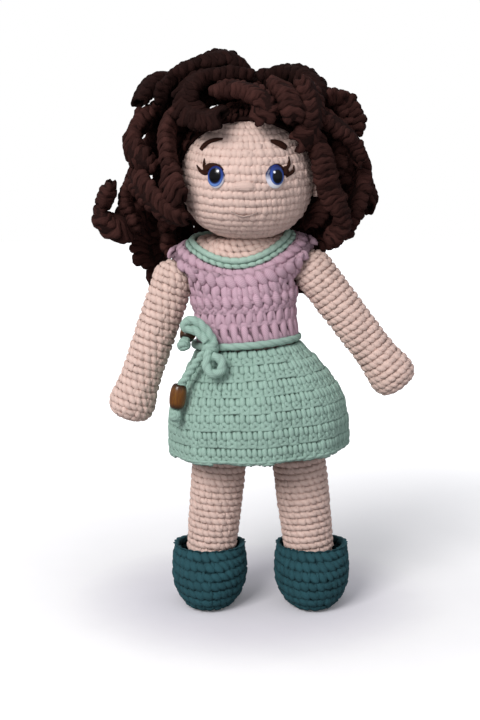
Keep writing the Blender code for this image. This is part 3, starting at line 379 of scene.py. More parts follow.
def mesh_of(name, parts, rises=None):
    """One mesh from several (vertices, faces, coordinates), with a strand map."""
    points, faces, coordinates = [], [], []
    start = 0
    for vertices, some, uv in parts:
        points.append(vertices)
        faces.extend([tuple(start + k for k in face) for face in some])
        coordinates.extend(uv)
        start += len(vertices)
    made = bpy.data.meshes.new(name)
    made.from_pydata(np.concatenate(points).tolist(), [], faces)
    layer = made.uv_layers.new(name="strand")
    layer.data.foreach_set("uv", np.array(coordinates, dtype=np.float32).ravel())
    rise = made.attributes.new("rise", "FLOAT", "POINT")
    values = np.ones(len(made.vertices)) if rises is None else np.concatenate(rises)
    rise.data.foreach_set("value", values.astype(np.float32))
    made.shade_smooth()
    made.update()
    return made


def thread(line, away, radii, sides=8, flat=0.7):
    """A strand of yarn along a line, flattened against the surface that it lies on."""
    _, across, out = frames_along(line, away)
    angles = circle(sides)
    radii = np.interp(np.linspace(0, 1, len(line)), np.linspace(0, 1, len(radii)), radii)
    ring = (np.cos(angles)[None, :, None] * across[:, None, :]
            + flat * np.sin(angles)[None, :, None] * out[:, None, :])
    return skin(line[:, None, :] + radii[:, None, None] * ring)


def stitch_mesh(name, strands, sides=6, count=6):
    """A stitch in a unit cell: x along the round, y up the piece, z outwards."""
    parts, rises = [], []
    for knots in strands:
        table = smooth_steps(np.array(knots) / 100, count)
        away = np.tile((0.0, 0.0, 1.0), (count, 1))
        parts.append(thread(table[:, :3], away, np.maximum(table[:, 3], 0.02), sides, flat=0.85))
        # The rise is low at the sunk ends of each strand, where the yarn takes its painted
        # crevice shade.
        rises.append(np.clip((parts[-1][0][:, 2] + 0.10) / 0.40, 0, 1))
    return template(name, mesh_of(name, parts, rises))


# The stitches, each as strands of (x, y, z, radius), in hundredths of the cell
SINGLE = stitch_mesh("single_crochet", (
    ((-17, -52, -30, 12), (-21, -34, 2, 21), (-25, 0, 14, 25.5), (-28, 32, 5, 22),
     (-27, 52, -28, 13)),
    ((19, -52, -30, 12), (22, -34, 2, 20), (25, 0, 14, 24.5), (22, 32, 7, 22),
     (20, 52, -28, 13)),
))
SOFT = stitch_mesh("face_single", (
    ((-18, -54, -26, 20), (-22, -30, -2, 34), (-26, 0, 2, 40), (-30, 30, -2, 34),
     (-32, 52, -26, 20)),
    ((32, -54, -26, 20), (28, -30, -4, 33), (24, 0, 0, 39), (20, 30, -4, 33), (18, 52, -26, 20)),
    ((-58, 2, -2, 30), (-20, 0, 2, 34), (20, 0, 2, 34), (58, -2, -2, 30)),
))
DIMPLE = stitch_mesh("limb_single", (
    ((-54, 28, -22, 18), (-26, 20, 0, 36), (0, 4, 5, 44), (26, -14, 0, 36), (52, -28, -22, 17)),
    ((30, 50, -22, 14), (38, 26, 3, 25), (42, -2, 0, 22), (46, -34, -22, 12)),
))
BAR = stitch_mesh("barred_single", (
    ((-56, 24, -24, 13), (-32, 16, 0, 36), (0, 0, 5, 50), (32, -16, 0, 36), (56, -24, -24, 13)),
), sides=8)
POST = stitch_mesh("half_treble", (
    ((-32, 42, -24, 15), (-30, 32, 8, 26), (-24, 16, 14, 30), (-16, -2, 4, 22)),
    ((16, 42, -26, 14), (20, 30, 6, 23), (26, 16, 10, 26), (32, -2, 3, 20)),
    ((-48, 12, -10, 9), (-26, 0, 14, 14), (6, -12, 18, 15), (38, -28, -4, 10)),
    ((-26, 0, -6, 16), (-28, -14, 8, 25), (-29, -28, 7, 25), (-30, -44, -20, 17)),
    ((22, -8, -8, 16), (22, -20, 7, 25), (21, -32, 5, 24), (20, -46, -20, 17)),
    ((-56, -39, 4, 11), (-20, -37, 15, 12), (20, -38, 15, 12), (56, -40, 4, 11)),
), count=5)
SLAB = stitch_mesh("short_post", (
    ((-26, 50, -16, 24), (-22, 34, 8, 36), (-16, 6, 10, 36), (-10, -24, 6, 34),
     (-6, -46, -20, 24)),
    ((34, 50, -18, 15), (36, 38, 2, 20), (38, 24, -10, 12)),
    ((-2, 0, 10, 12), (16, -12, 20, 17), (34, -26, 12, 18), (46, -44, -12, 14)),
    ((-58, -47, 0, 12), (-20, -45, 8, 13), (20, -46, 8, 13), (58, -48, 0, 12)),
), count=5)
EYELET = stitch_mesh("eyelet_row", (
    ((-36, -52, -12, 24), (-28, -20, 6, 34), (-16, 14, 8, 33), (-6, 50, -10, 22)),
    ((36, -52, -14, 16), (24, -16, 4, 21), (10, 18, 8, 22), (0, 50, -10, 16)),
    ((-58, -44, 0, 20), (-20, -42, 8, 22), (20, -43, 8, 22), (58, -46, 0, 20)),
    ((-58, 50, -4, 18), (0, 47, 6, 20), (58, 50, -4, 18)),
), count=5)
LEAF = stitch_mesh("leaf_stitch", (
    ((-42, 46, -20, 16), (-34, 32, 10, 34), (-16, 10, 16, 38), (6, -10, 8, 26),
     (20, -24, -18, 12)),
    ((16, 46, -20, 12), (26, 32, 2, 20), (42, 14, 2, 20), (50, 0, -16, 12)),
    ((-44, -2, -12, 14), (-38, -18, 8, 26), (-26, -34, 6, 25), (-20, -48, -16, 16)),
    ((-2, -14, 6, 10), (4, -30, 14, 14), (18, -38, 16, 15), (32, -28, 12, 14), (38, -12, 0, 10)),
    ((-58, -46, 0, 12), (-20, -44, 10, 14), (20, -45, 10, 14), (58, -47, 0, 12)),
), count=5)
OVERLAP = stitch_mesh("overlapped_row", (
    ((-58, 40, -14, 16), (-30, 34, 12, 32), (6, 16, 18, 34), (42, -4, -6, 16)),
    ((-40, 0, -10, 16), (-32, -18, 8, 30), (-22, -34, 4, 28), (-18, -48, -14, 16)),
    ((18, -14, -10, 12), (22, -28, 5, 20), (26, -38, 2, 20), (28, -48, -14, 12)),
    ((-58, 50, -4, 13), (0, 48, 8, 16), (58, 50, -4, 13)),
), count=5)
CHAIN = stitch_mesh("chain_link", (
    ((-60, -4, -12, 16), (-30, 5, 10, 32), (5, 8, 15, 36), (38, 3, 8, 30), (62, -5, -14, 16)),
), sides=8, count=7)


def stitch_tree():
    """A tree that puts a stitch on each point, turned and sized by the point's own values."""
    tree = bpy.data.node_groups.new("lay_stitches", "GeometryNodeTree")
    sockets = {}
    for name, kind, value in (("Geometry", "NodeSocketGeometry", None),
                              ("Stitch", "NodeSocketObject", None),
                              ("Fullness", "NodeSocketFloat", 1.0),
                              ("Unevenness", "NodeSocketFloat", 0.07),
                              ("Wobble", "NodeSocketFloat", 0.06),
                              ("Seed", "NodeSocketInt", 3),
                              ("Finish", "NodeSocketMaterial", None)):
        made = tree.interface.new_socket(name, in_out="INPUT", socket_type=kind)
        if value is not None:
            made.default_value = value
        sockets[name] = made.identifier
    tree.interface.new_socket("Geometry", in_out="OUTPUT", socket_type="NodeSocketGeometry")
    given = wire(tree, "NodeGroupInput").outputs

    def own(name):
        return wire(tree, "GeometryNodeInputNamedAttribute", {"Name": name},
                    data_type="FLOAT_VECTOR").outputs["Attribute"]

    def chance(offset):
        seed = wire(tree, "ShaderNodeMath", {0: given["Seed"], 1: offset}, operation="ADD")
        return wire(tree, "FunctionNodeRandomValue",
                    {"Seed": seed.outputs[0], "Min": (-1,) * 3, "Max": (1,) * 3},
                    data_type="FLOAT_VECTOR").outputs["Value"]

    def combined(operation, first, second):
        inputs = {0: first, "Scale" if operation == "SCALE" else 1: second}
        return wire(tree, "ShaderNodeVectorMath", inputs, operation=operation).outputs["Vector"]

    uneven = combined("SCALE", chance(0), given["Unevenness"])
    uneven = combined("ADD", uneven, (1.0, 1.0, 1.0))
    scale = combined("SCALE", combined("MULTIPLY", own("size"), uneven), given["Fullness"])
    turn = combined("ADD", own("turn"), combined("SCALE", chance(11), given["Wobble"]))
    tone = wire(tree, "FunctionNodeRandomValue", {"Seed": given["Seed"]}, data_type="FLOAT")
    toned = wire(tree, "GeometryNodeStoreNamedAttribute",
                 {"Geometry": given["Geometry"], "Name": "tone", "Value": tone.outputs[1]},
                 data_type="FLOAT", domain="POINT")
    stitch = wire(tree, "GeometryNodeObjectInfo", {"Object": given["Stitch"]})
    laid = wire(tree, "GeometryNodeInstanceOnPoints",
                {"Points": toned.outputs["Geometry"], "Instance": stitch.outputs["Geometry"],
                 "Rotation": turn, "Scale": scale})
    real = wire(tree, "GeometryNodeRealizeInstances", {"Geometry": laid.outputs["Instances"]})
    done = wire(tree, "GeometryNodeSetMaterial",
                {"Geometry": real.outputs["Geometry"], "Material": given["Finish"]})
    wire(tree, "NodeGroupOutput", {0: done.outputs["Geometry"]})
    return tree, sockets


TREE, INPUTS = stitch_tree()


def euler_of(across, up, out):
    """XYZ angles of the frames whose columns are across, up and out."""
    return np.column_stack([np.arctan2(up[:, 2], out[:, 2]),
                            -np.arcsin(np.clip(across[:, 2], -1, 1)),
                            np.arctan2(across[:, 1], across[:, 0])])


def lay_stitches(name, spots, stitch, finish, seed=3, fullness=1.0, unevenness=0.07, wobble=0.06):
    """A mesh of stitches at spots, each (place, across, up, out, size), all as arrays."""
    at, across, up, out, size = [np.concatenate(part) for part in zip(*spots)]
    points = bpy.data.meshes.new(name + "_spots")
    points.from_pydata(at.tolist(), [], [])
    for label, values in (("turn", euler_of(across, up, out)), ("size", size)):
        made = points.attributes.new(label, "FLOAT_VECTOR", "POINT")
        made.data.foreach_set("vector", values.astype(np.float32).ravel())
    piece = place(name + "_spots", points)
    work = piece.modifiers.new("stitches", "NODES")
    work.node_group = TREE
    for label, value in (("Stitch", stitch), ("Fullness", fullness), ("Unevenness", unevenness),
                         ("Wobble", wobble), ("Seed", seed), ("Finish", finish)):
        work[INPUTS[label]] = value
    bpy.context.view_layer.update()
    seen = piece.evaluated_get(bpy.context.evaluated_depsgraph_get())
    made = bpy.data.meshes.new_from_object(seen)
    made.name = name
    bpy.data.objects.remove(piece)
    return place(name, made)


# Rounds of stitches over a surface of closed rings
BAND_STEPS = 6             # rings of cloth under each round


def runs_of(grid):
    """The mean run up a grid of rings, ring by ring, and its mean whole length."""
    runs = np.mean([run_of(grid[:, side]) for side in range(grid.shape[1])], axis=0)
    return runs, np.mean([run_of(grid[:, side])[-1] for side in range(0, grid.shape[1], 3)])


def rings_at(grid, runs, wanted):
    rings = [along(grid[:, side], runs, wanted) for side in range(grid.shape[1])]
    return np.array(rings).transpose(1, 0, 2)


def rounds(grid, step, width, depth, keep=None, first=0.5, lift=-0.0008, least=5, overlap=1.0,
           heights=None):
    """Spots for rounds worked over stacked rings of points, from the first ring to the last."""
    runs, length = runs_of(grid)
    if heights is None:
        count = max(1, int(round(length / step)))
        heights = np.full(count, length / count)
        shares = (np.arange(count) + first) * heights
    else:
        heights = np.array(heights) * length / np.sum(heights)
        shares = np.cumsum(heights) - heights / 2
    spots = []
    for number, (share, height) in enumerate(zip(shares, heights)):
        levels = (max(share - 0.4 * height, 0), share, min(share + 0.4 * height, runs[-1]))
        below, ring, above = [np.vstack([row, row[:1]]) for row in rings_at(grid, runs, levels)]
        run = run_of(ring)
        stitches = max(least, int(round(run[-1] / width)))
        wanted = (np.arange(stitches) + 0.5 * (number % 2) + 0.13 * number) % stitches
        wanted = wanted * run[-1] / stitches
        at = along(ring, run, wanted)
        reach = along(above - below, run, wanted)
        ahead = along(ring, run, (wanted + 0.3 * width) % run[-1])
        behind = along(ring, run, (wanted - 0.3 * width) % run[-1])
        across = unit(ahead - behind)
        out = unit(np.cross(across, reach))
        up = np.cross(out, across)
        own = np.linalg.norm(reach, axis=1) / 0.8
        size = np.column_stack([np.full(stitches, run[-1] / stitches * overlap),
                                np.clip(own, height, 1.8 * height) * overlap,
                                np.full(stitches, depth)])
        spot = (at + lift * out, across, up, out, size)
        if keep is not None:
            good = keep(spot[0], out)
            spot = tuple(values[good] for values in spot)
        spots.append(spot)
    return spots


def merged_copy(node, name):
    """A copy of a CAD node's mesh with its loose triangles joined."""
    made = frame["nodes"][node].data.copy()
    made.name = name
    return joined(made, 0.00001)


def banded(grid, step, low, high):
    """Rings over a grid that swell along each round and draw in between two rounds."""
    runs, length = runs_of(grid)
    count = max(1, int(round(length / step)))
    wanted = np.linspace(0, runs[-1], count * BAND_STEPS + 1)
    rows = rings_at(grid, runs, wanted)
    ahead = np.roll(rows, -1, axis=1) - np.roll(rows, 1, axis=1)
    out = unit(np.cross(ahead, np.gradient(rows, axis=0)))
    swell = np.abs(np.sin(math.pi * np.arange(len(wanted)) / BAND_STEPS)) ** 0.7
    return rows + out * (low + (high - low) * swell)[:, None, None], out


def stand_for(piece, node):
    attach(piece, BODY_OF[node])
    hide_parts(node)
    return piece


def stuffed(node, colour, grid, step, low=-0.0012, high=-0.0004):
    """The cover of a stuffed piece under its stitches, one swell for each round."""
    rings, _ = banded(grid, step, low, high)
    data = mesh_of(node + "_ground", [skin(rings)])
    piece = stand_for(place(node + "_ground", data, CLOTHS[colour]), node)
    return piece


def wrapped(node, colour, grid, step, low, high, wall=0.0010):
    """A thin shell of cloth round the body, one swell for each round."""
    rings, out = banded(grid, step, low, high)
    inner = rings[::-1] - out[::-1] * wall
    data = mesh_of(node + "_ground", [skin(np.concatenate([rings, inner]), cyclic=True)])
    return stand_for(place(node + "_ground", data, CLOTHS[colour]), node)


def ground(node, colour, inset, inward=0.0):
    """The cloth under a node's stitches: its own form, drawn in a little."""
    def draw_in(work):
        work.normal_update()
        for vert, facing in [(vert, vert.normal.copy()) for vert in work.verts]:
            outer = facing.x * vert.co.x + facing.y * vert.co.y > 0
            vert.co -= facing * (inset if outer or not inward else -inward)

    made = reworked(merged_copy(node, node + "_ground"), draw_in)
    for layer in [layer.name for layer in made.uv_layers]:
        made.uv_layers.remove(made.uv_layers[layer])
    made.shade_smooth()
    made.set_sharp_from_angle(angle=math.radians(50))
    return stand_for(place(node + "_ground", made, CLOTHS[colour]), node)


def dress_up(node, colour, spots, stitch=SINGLE, label="stitches", **options):
    """Stitches of a node's yarn that ride with it."""
    piece = lay_stitches(f"{node}_{label}", spots, stitch, YARNS[colour], **options)
    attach(piece, BODY_OF[node])
    return piece


# Camera, floor and light
FLOOR_REACH, FLOOR_DROP = 3.0, 0.0006
LIT_SPOT = Vector((0, 0, 0.15))


def set_camera():
    data = bpy.data.cameras.new("camera")
    data.lens = CAMERA_LENS
    data.sensor_width = SENSOR
    data.clip_start = 0.01
    camera = place("camera", data)
    camera.location = CAMERA_AT
    camera.rotation_euler = (math.pi / 2 - CAMERA_DOWN, 0, 0)
    bpy.context.scene.camera = camera


def ray(px, py):
    """The way that a point of the 480 by 720 picture looks, from the camera."""
    scale = SENSOR / 720
    way = Vector(((px - 240) * scale, (360 - py) * scale, -CAMERA_LENS)).normalized()
    return Matrix.Rotation(math.pi / 2 - CAMERA_DOWN, 3, "X") @ way


def set_floor():
    """White paper that takes a soft shadow and throws little light back up; a painted shadow
    greys it round the feet, and a painted glow lights it more the further it lies from them.
    """
    data = bpy.data.meshes.new("floor")
    data.from_pydata([(x * FLOOR_REACH, y * FLOOR_REACH, -FLOOR_DROP)
                      for x, y in ((-1, -1), (1, -1), (1, 1), (-1, 1))], [], [(0, 1, 2, 3)])
    finish, tree, shader = blank_finish("floor_paper", 0.9, Specular_IOR_Level=0.1,
                                        Emission_Color=(1.0,) * 4)
    at = own_place(tree)
    far = wire(tree, "ShaderNodeVectorMath", {0: at}, operation="LENGTH").outputs["Value"]
    # Painted glow: the paper's emission grows with distance from the feet.
    lit = wire(tree, "ShaderNodeMapRange", {"Value": far, "From Min": 0.08, "From Max": 0.55,
                                            "To Min": 0.06, "To Max": 0.80})
    # Painted shadow: the paper is greyer within about 0.1 m of the feet.
    painted_shadow = wire(tree, "ShaderNodeMapRange", {"Value": far, "From Min": 0.045,
                                             "From Max": 0.105, "To Min": 0.0},
                interpolation_type="SMOOTHSTEP")
    tones = ramp(tree, noise(tree, at, Scale=40.0), [(0.3, (0.97, 0.965, 0.98)),
                                                     (0.7, (0.99, 0.985, 1.0))])
    paper = ramp(tree, painted_shadow.outputs["Result"], [(0.0, (0.74, 0.725, 0.77)),
                                                (1.0, (0.96, 0.96, 0.96))])
    feed(tree, shader, {"Base Color": multiply(tree, tones, paper),
                        "Emission Strength": lit.outputs["Result"]})
    dull = wire(tree, "ShaderNodeBsdfDiffuse", {"Color": (0.36, 0.35, 0.36, 1.0)})
    feed(tree, tree.nodes["Material Output"],
         {"Surface": for_camera(tree, dull.outputs["BSDF"], shader.outputs["BSDF"])})
    place("floor", data, finish)


def lamp(name, at, width, power, colour):
    data = bpy.data.lights.new(name, "AREA")
    data.shape = "SQUARE"
    data.size = width
    data.energy = power
    data.color = colour
    piece = place(name, data)
    piece.location = at
    piece.rotation_euler = (LIT_SPOT - piece.location).to_track_quat("-Z", "Y").to_euler()


def set_light():
    world = bpy.data.worlds.new("studio")
    bpy.context.scene.world = world
    world.use_nodes = True
    tree = world.node_tree
    soft = tree.nodes["Background"]
    feed(tree, soft, {"Color": (0.95, 0.96, 1.0, 1.0), "Strength": 0.52})
    white = wire(tree, "ShaderNodeBackground", {"Color": (1.0,) * 4, "Strength": 1.0})
    both = for_camera(tree, soft.outputs["Background"], white.outputs["Background"])
    feed(tree, tree.nodes["World Output"], {"Surface": both})
    lamp("key", (-0.56, -0.90, 0.84), 0.6, 13.5, (1.0, 0.985, 0.965))
    lamp("fill", (0.7, -0.8, 0.5), 0.9, 0.8, (0.97, 0.98, 1.0))
    bpy.context.scene.view_settings.view_transform = "Standard"


# Head and face
HEAD_OUTLINE_SHARES = (
    (0.000, 1.020), (0.200, 1.000), (0.390, 0.935), (0.570, 0.835), (0.730, 0.700),
    (0.860, 0.530), (0.950, 0.330), (0.995, 0.110), (0.995, -0.100), (0.950, -0.310),
    (0.860, -0.510), (0.730, -0.670), (0.560, -0.790), (0.380, -0.865), (0.200, -0.895),
    (0.000, -0.900),
)


def head_reach(directions, stand=0.0):
    """Points of the head's surface that lie in the given directions from its centre."""
    line = smooth_steps(HEAD_OUTLINE_SHARES, 121) * HEAD_RADIUS
    lifts = np.arctan2(line[:, 1], np.maximum(line[:, 0], 0))
    reach = np.linalg.norm(line, axis=1)
    lift = np.arcsin(np.clip(directions[..., 2], -1, 1))
    order = np.argsort(lifts)
    radius = np.interp(lift, lifts[order], reach[order]) + stand
    return HEAD_CENTRE + directions * radius[..., None]


def head_grid(stand=0.0):
    """Rings round the head from the chin up, leaning forward as its rounds do."""
    up = np.array([0, -math.sin(HEAD_ROUND_TILT), math.cos(HEAD_ROUND_TILT)])
    back = np.array([0, math.cos(HEAD_ROUND_TILT), math.sin(HEAD_ROUND_TILT)])
    polar = np.linspace(math.pi - 0.02, 0.02, 73)[:, None, None]
    turn = circle(SIDES)[None, :, None]
    directions = (np.sin(polar) * np.cos(turn) * np.array([1, 0, 0])
                  + np.sin(polar) * np.sin(turn) * back + np.cos(polar) * up)
    return head_reach(directions, stand)


def cap_side(at):
    """How far a point lies in front of the plane that ends the hair cap at the face."""
    hairline = np.array([0, -0.62, 0.80]) * HEAD_RADIUS
    beside_ear = np.array([0, 0.15, -0.25]) * HEAD_RADIUS
    forward = unit(np.cross((1, 0, 0), hairline - beside_ear))
    return (at - HEAD_CENTRE - hairline) @ forward


def make_head():
    grid = head_grid()
    stuffed("head", "skin", grid, FACE_ROUND)
    spots = rounds(grid, FACE_ROUND, FACE_STITCH, 0.0032,
                   keep=lambda at, out: cap_side(at) > -0.014)
    dress_up("head", "skin", spots, SOFT, seed=5, fullness=1.08, unevenness=0.11, wobble=0.09)
    ground("hair_cap", "brown", 0.0004)
    spots = rounds(head_grid(stand=0.0030), 0.0050, 0.0052, 0.0040, lift=-0.0002,
                   keep=lambda at, out: (cap_side(at) < -0.0005)
                   & (at[:, 2] > HEAD_HEIGHT - 0.58 * HEAD_RADIUS))
    dress_up("hair_cap", "brown", spots, seed=8)
    for side, name in SIDE_NAMES.items():
        make_ear("ear_" + name, side)


def make_ear(node, side):
    """A small pointed ear: a leaf of five stitches that narrows outwards."""
    low, high = [np.array(corner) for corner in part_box(node)]
    middle = (low + high) / 2
    parts = []
    for share in np.linspace(-1, 1, 5):
        start = middle + np.array([-side * 0.0016, 0.0006, share * 0.0034])
        stop = middle + np.array([side * 0.0026, -0.0008, share * 0.0010 - 0.0006])
        bend = (start + stop) / 2 + np.array([0, -0.0009, share * 0.0004])
        line = even_route([start, bend, stop], 0.0005)
        towards = np.tile((side * 0.3, -0.9, 0.2), (len(line), 1))
        parts.append(thread(line, towards, (0.0009, 0.0011, 0.0010, 0.0006), flat=0.8))
    stand_for(place(node + "_leaf", mesh_of(node + "_leaf", parts), YARNS["skin"]), node)


def meet(px, py):
    """Where a point of the picture falls on the head's surface."""
    way = np.array(ray(px, py))
    far = np.linspace(0.55, 0.70, 1500)[:, None]
    points = np.array(CAMERA_AT) + far * way
    away = points - HEAD_CENTRE
    surface = head_reach(unit(away)) - HEAD_CENTRE
    inside = np.linalg.norm(away, axis=1) <= np.linalg.norm(surface, axis=1)
    nearest = int(np.argmax(inside)) if inside.any() else int(np.argmin(
        np.linalg.norm(away, axis=1) - np.linalg.norm(surface, axis=1)))
    return points[nearest]


def on_face(outline, stand):
    """A smooth line over the face through points of the picture, a little off the surface."""
    line = even_route([meet(px, py) for px, py in outline], 0.0007)
    away = unit(line - HEAD_CENTRE)
    return head_reach(away, stand), away


def embroider(name, lines, finish, stand):
    parts = []
    for outline, radii in lines:
        line, away = on_face(outline, stand)
        parts.append(thread(line, away, radii, flat=0.5))
    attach(place(name, mesh_of(name, parts), finish), "head")


def make_face():
    lines = [
        # brows
        (((201.4, 150.2), (205, 145.4), (211, 141.6), (217, 140.0), (223, 139.2)),
         (0.0013, 0.0014, 0.0013, 0.0011, 0.0005)),
        (((270.4, 141.4), (275.0, 142.5), (281, 145.0), (285.8, 148.4)),
         (0.0008, 0.0017, 0.0020, 0.0015)),
        # lids
        (((205.2, 170.6), (208.5, 167.2), (214, 166.0), (219.5, 167.0), (223.6, 170.2)),
         (0.0015, 0.0016, 0.00135, 0.0010, 0.0004)),
        (((203.0, 171.0), (206.5, 171.6), (209.5, 172.6)), (0.0006, 0.0011, 0.0008)),
        (((269.2, 170.8), (272.5, 166.4), (276.2, 164.9), (280, 166.0), (283.4, 169.6)),
         (0.0003, 0.0005, 0.0006, 0.0006, 0.0007)),
        (((284.6, 166.2), (285.6, 170.5), (284.8, 175.6)), (0.0009, 0.0017, 0.0013)),
        # lashes
        (((207.6, 173.4), (203.8, 173.0), (200.2, 170.0), (197.4, 165.2)),
         (0.0009, 0.0009, 0.0008, 0.0003)),
        (((206.4, 170.6), (204.6, 165.6), (204.8, 158.8)), (0.0011, 0.0009, 0.0003)),
        (((285.6, 169.6), (288.6, 163.8), (288.2, 156.6)), (0.0010, 0.0009, 0.0003)),
        (((285.4, 176.0), (289.6, 173.6), (292.8, 170.6), (293.2, 165.2)),
         (0.0009, 0.0009, 0.0009, 0.0003)),
    ]
    embroider("face_embroidery", lines, YARNS["thread"], 0.0004)
    smile = grained("smile_thread", 0.85, 900.0, [(0.3, shade(SKIN, 0.46)),
                                                  (0.7, shade(SKIN, 0.62))])
    outline = ((231.4, 210.6), (237, 214.4), (242.4, 216.2), (250, 214.8), (257, 211.8))
    embroider("smile", [(outline, (0.0003, 0.0004, 0.0005, 0.0004, 0.0003))], smile, 0.0005)
    make_nose()
    make_eye("eye_right", (216.1, 177.0), (8.5, 10.5), 335, 0.02,
             ring_at=(-0.02, 0.07), ring_half=(0.97, 0.92),
             pupil_at=(0.03, 0.13), pupil_half=(0.70, 0.66), glint_at=(0.39, 0.52))
    make_eye("eye_left", (275.0, 176.6), (8.8, 11.0), 182, 0.10,
             ring_at=(0.13, 0.14), ring_half=(0.85, 0.85),
             pupil_at=(0.13, 0.0), pupil_half=(0.57, 0.58), glint_at=(-0.25, 0.37))


def make_nose():
    """A bar of satin stitches, side by side over a small pad."""
    parts = []
    for share in np.linspace(-1, 1, 7):
        bow = math.sqrt(1 - 0.93 * share ** 2)
        y = 186.2 + 4.0 * share
        half = 10.8 * (0.45 + 0.55 * bow)
        outline = [(244.4 + half * k, y + 0.4 * k) for k in (-1, -0.6, 0, 0.6, 1)]
        line = even_route([meet(px, py) for px, py in outline], 0.0006)
        away = unit(line - HEAD_CENTRE)
        rise = np.linspace(-1, 1, len(line))
        stand = -0.0003 + 0.0011 * bow * np.maximum(0, 1 - rise ** 4)
        line = head_reach(away) + away * stand[:, None]
        parts.append(thread(line, away, (0.0004, 0.0006, 0.00065, 0.0006, 0.0004)))
    # The nose takes the lighter skin yarn: painted light on the raised pad.
    stand_for(place("nose_satin", mesh_of("nose_satin", parts), YARNS["nose"]), "nose")


PX_AT_FACE = 0.000505      # metres that a point of the picture covers at the face
# The eye's dome from its edge to its middle, as (share of its half size, height)
EYE_DOME = ((1.0, -0.0010), (1.0, 0.0004), (0.96, 0.0007), (0.88, 0.0011), (0.76, 0.0014),
            (0.6, 0.0017), (0.4, 0.0019), (0.2, 0.0020), (0.0, 0.00205))


def eye_finish(name, ring_at, ring_half, pupil_at, pupil_half, glint_at):
    """A painted safety eye: a black pupil, a blue ring, and white below, with painted lid shade
    that darkens the white and the ring towards the top, and a painted highlight.
    """
    made, tree, shader = blank_finish(name, 0.16, Specular_IOR_Level=0.22)
    at = strand_map(tree)
    height = wire(tree, "ShaderNodeSeparateXYZ", {"Vector": at}).outputs["Y"]

    def oval(centre, half):
        shift = wire(tree, "ShaderNodeMapping",
                     {"Vector": at, "Scale": (1 / half[0], 1 / half[1], 1),
                      "Location": (-centre[0] / half[0], -centre[1] / half[1], 0)})
        return wire(tree, "ShaderNodeVectorMath", {0: shift.outputs["Vector"]},
                    operation="LENGTH").outputs["Value"]

    def upwards(low, high, stops):
        level = wire(tree, "ShaderNodeMapRange",
                     {"Value": height, "From Min": low, "From Max": high})
        return ramp(tree, level.outputs["Result"], stops)

    # Painted lid shade: the white and the blue ring darken towards the top.
    seen = upwards(-1.0, 0.6, [(0.0, (0.80, 0.80, 0.84)), (0.45, (0.62, 0.64, 0.76)),
                               (0.75, (0.020, 0.030, 0.090))])
    blue = upwards(-0.8, 0.9, [(0.0, (0.15, 0.29, 0.66)), (0.5, (0.045, 0.105, 0.42)),
                               (1.0, (0.016, 0.022, 0.10))])
    inner_half = [0.80 * h + 0.20 * p for h, p in zip(ring_half, pupil_half)]
    rim_half = [1.12 * p for p in pupil_half]
    # The last oval, at glint_at, is a painted highlight.
    for far, edge, soft, colour in (
            (oval(ring_at, ring_half), 1.0, 0.05, (0.016, 0.040, 0.26, 1.0)),
            (oval(ring_at, inner_half), 1.0, 0.06, blue),
            (oval(pupil_at, rim_half), 1.0, 0.10, (0.010, 0.025, 0.13, 1.0)),
            (oval(pupil_at, pupil_half), 0.97, 0.06, (0.0025, 0.0025, 0.003, 1.0)),
            (oval(glint_at, (0.155, 0.125)), 0.8, 0.3, (0.95, 0.97, 1.0, 1.0))):
        inside = wire(tree, "ShaderNodeMapRange",
                      {"Value": far, "From Min": edge + soft, "From Max": edge - soft},
                      interpolation_type="SMOOTHSTEP").outputs["Result"]
        seen = wire(tree, "ShaderNodeMix", {"Factor": inside, "A": seen, "B": colour},
                    data_type="RGBA").outputs["Result"]
    feed(tree, shader, {"Base Color": seen})
    return made


def make_eye(node, at_px, half_px, point_degrees, point_reach, **paint):
    """A low domed eye with a drop-shaped outline, set into the face."""
    middle = np.array(meet(*at_px))
    away = unit(middle - HEAD_CENTRE)
    across = unit(np.cross((0, 0, 1), away))
    up = np.cross(away, across)
    half = np.array(half_px) * PX_AT_FACE
    turns = circle(48)
    apart = (turns - math.radians(point_degrees) + math.pi) % (2 * math.pi) - math.pi
    point = point_reach * np.exp(-np.abs(apart / 0.30) ** 1.3)
    rings, flat = [], []
    for reach, height in EYE_DOME:
        r = reach * (1 + point)
        x = r * np.cos(turns)
        y = r * np.sin(turns)
        rings.append(middle + half[0] * x[:, None] * across + half[1] * y[:, None] * up
                     + height * away)
        flat.append(np.column_stack([x, y]))
    vertices, faces, _ = skin(np.array(rings))
    flat = np.array(flat).reshape(-1, 2)
    coordinates = [tuple(flat[k]) for face in faces for k in face]
    made = joined(mesh_of(node + "_dome", [(vertices, faces, coordinates)]), 0.000002)
    stand_for(place(node + "_dome", made, eye_finish(node + "_paint", **paint)), node)


# Trunk and dress
TRUNK_ROW_SHARES = (
    (0.00, -0.70, 1.00, 1.00, 0.00), (0.25, -1.10, 1.00, 0.99, 0.00),
    (0.44, -1.35, 1.05, 0.99, 0.10), (0.62, -1.50, 1.13, 0.97, 0.36),
    (0.76, -1.50, 1.32, 0.95, 0.56), (0.88, -1.50, 1.46, 0.92, 0.74),
    (0.93, -1.60, 1.34, 0.90, 0.80), (0.975, -1.75, 1.13, 0.84, 0.74),
    (1.01, -1.95, 0.89, 0.76, 0.56),
)
BODICE_TOP_SHARE = 0.875
BODICE_ROW_SHARES = (6.3, 4.9, 5.6, 5.4, 6.9, 3.6, 3.5)
SKIRT_ROW_SHARES = (
    (1.00, 1.05, 0.97, 0.98), (0.82, 0.95, 1.00, 1.00), (0.65, 0.80, 0.97, 0.97),
    (0.50, 0.60, 0.87, 0.87), (0.36, 0.35, 0.66, 0.67), (0.22, 0.00, 0.42, 0.43),
    (0.10, -0.45, 0.18, 0.19), (0.037, -0.66, 0.05, 0.05),
)
TRUNK_FINE = smooth_steps(TRUNK_ROW_SHARES, 81)


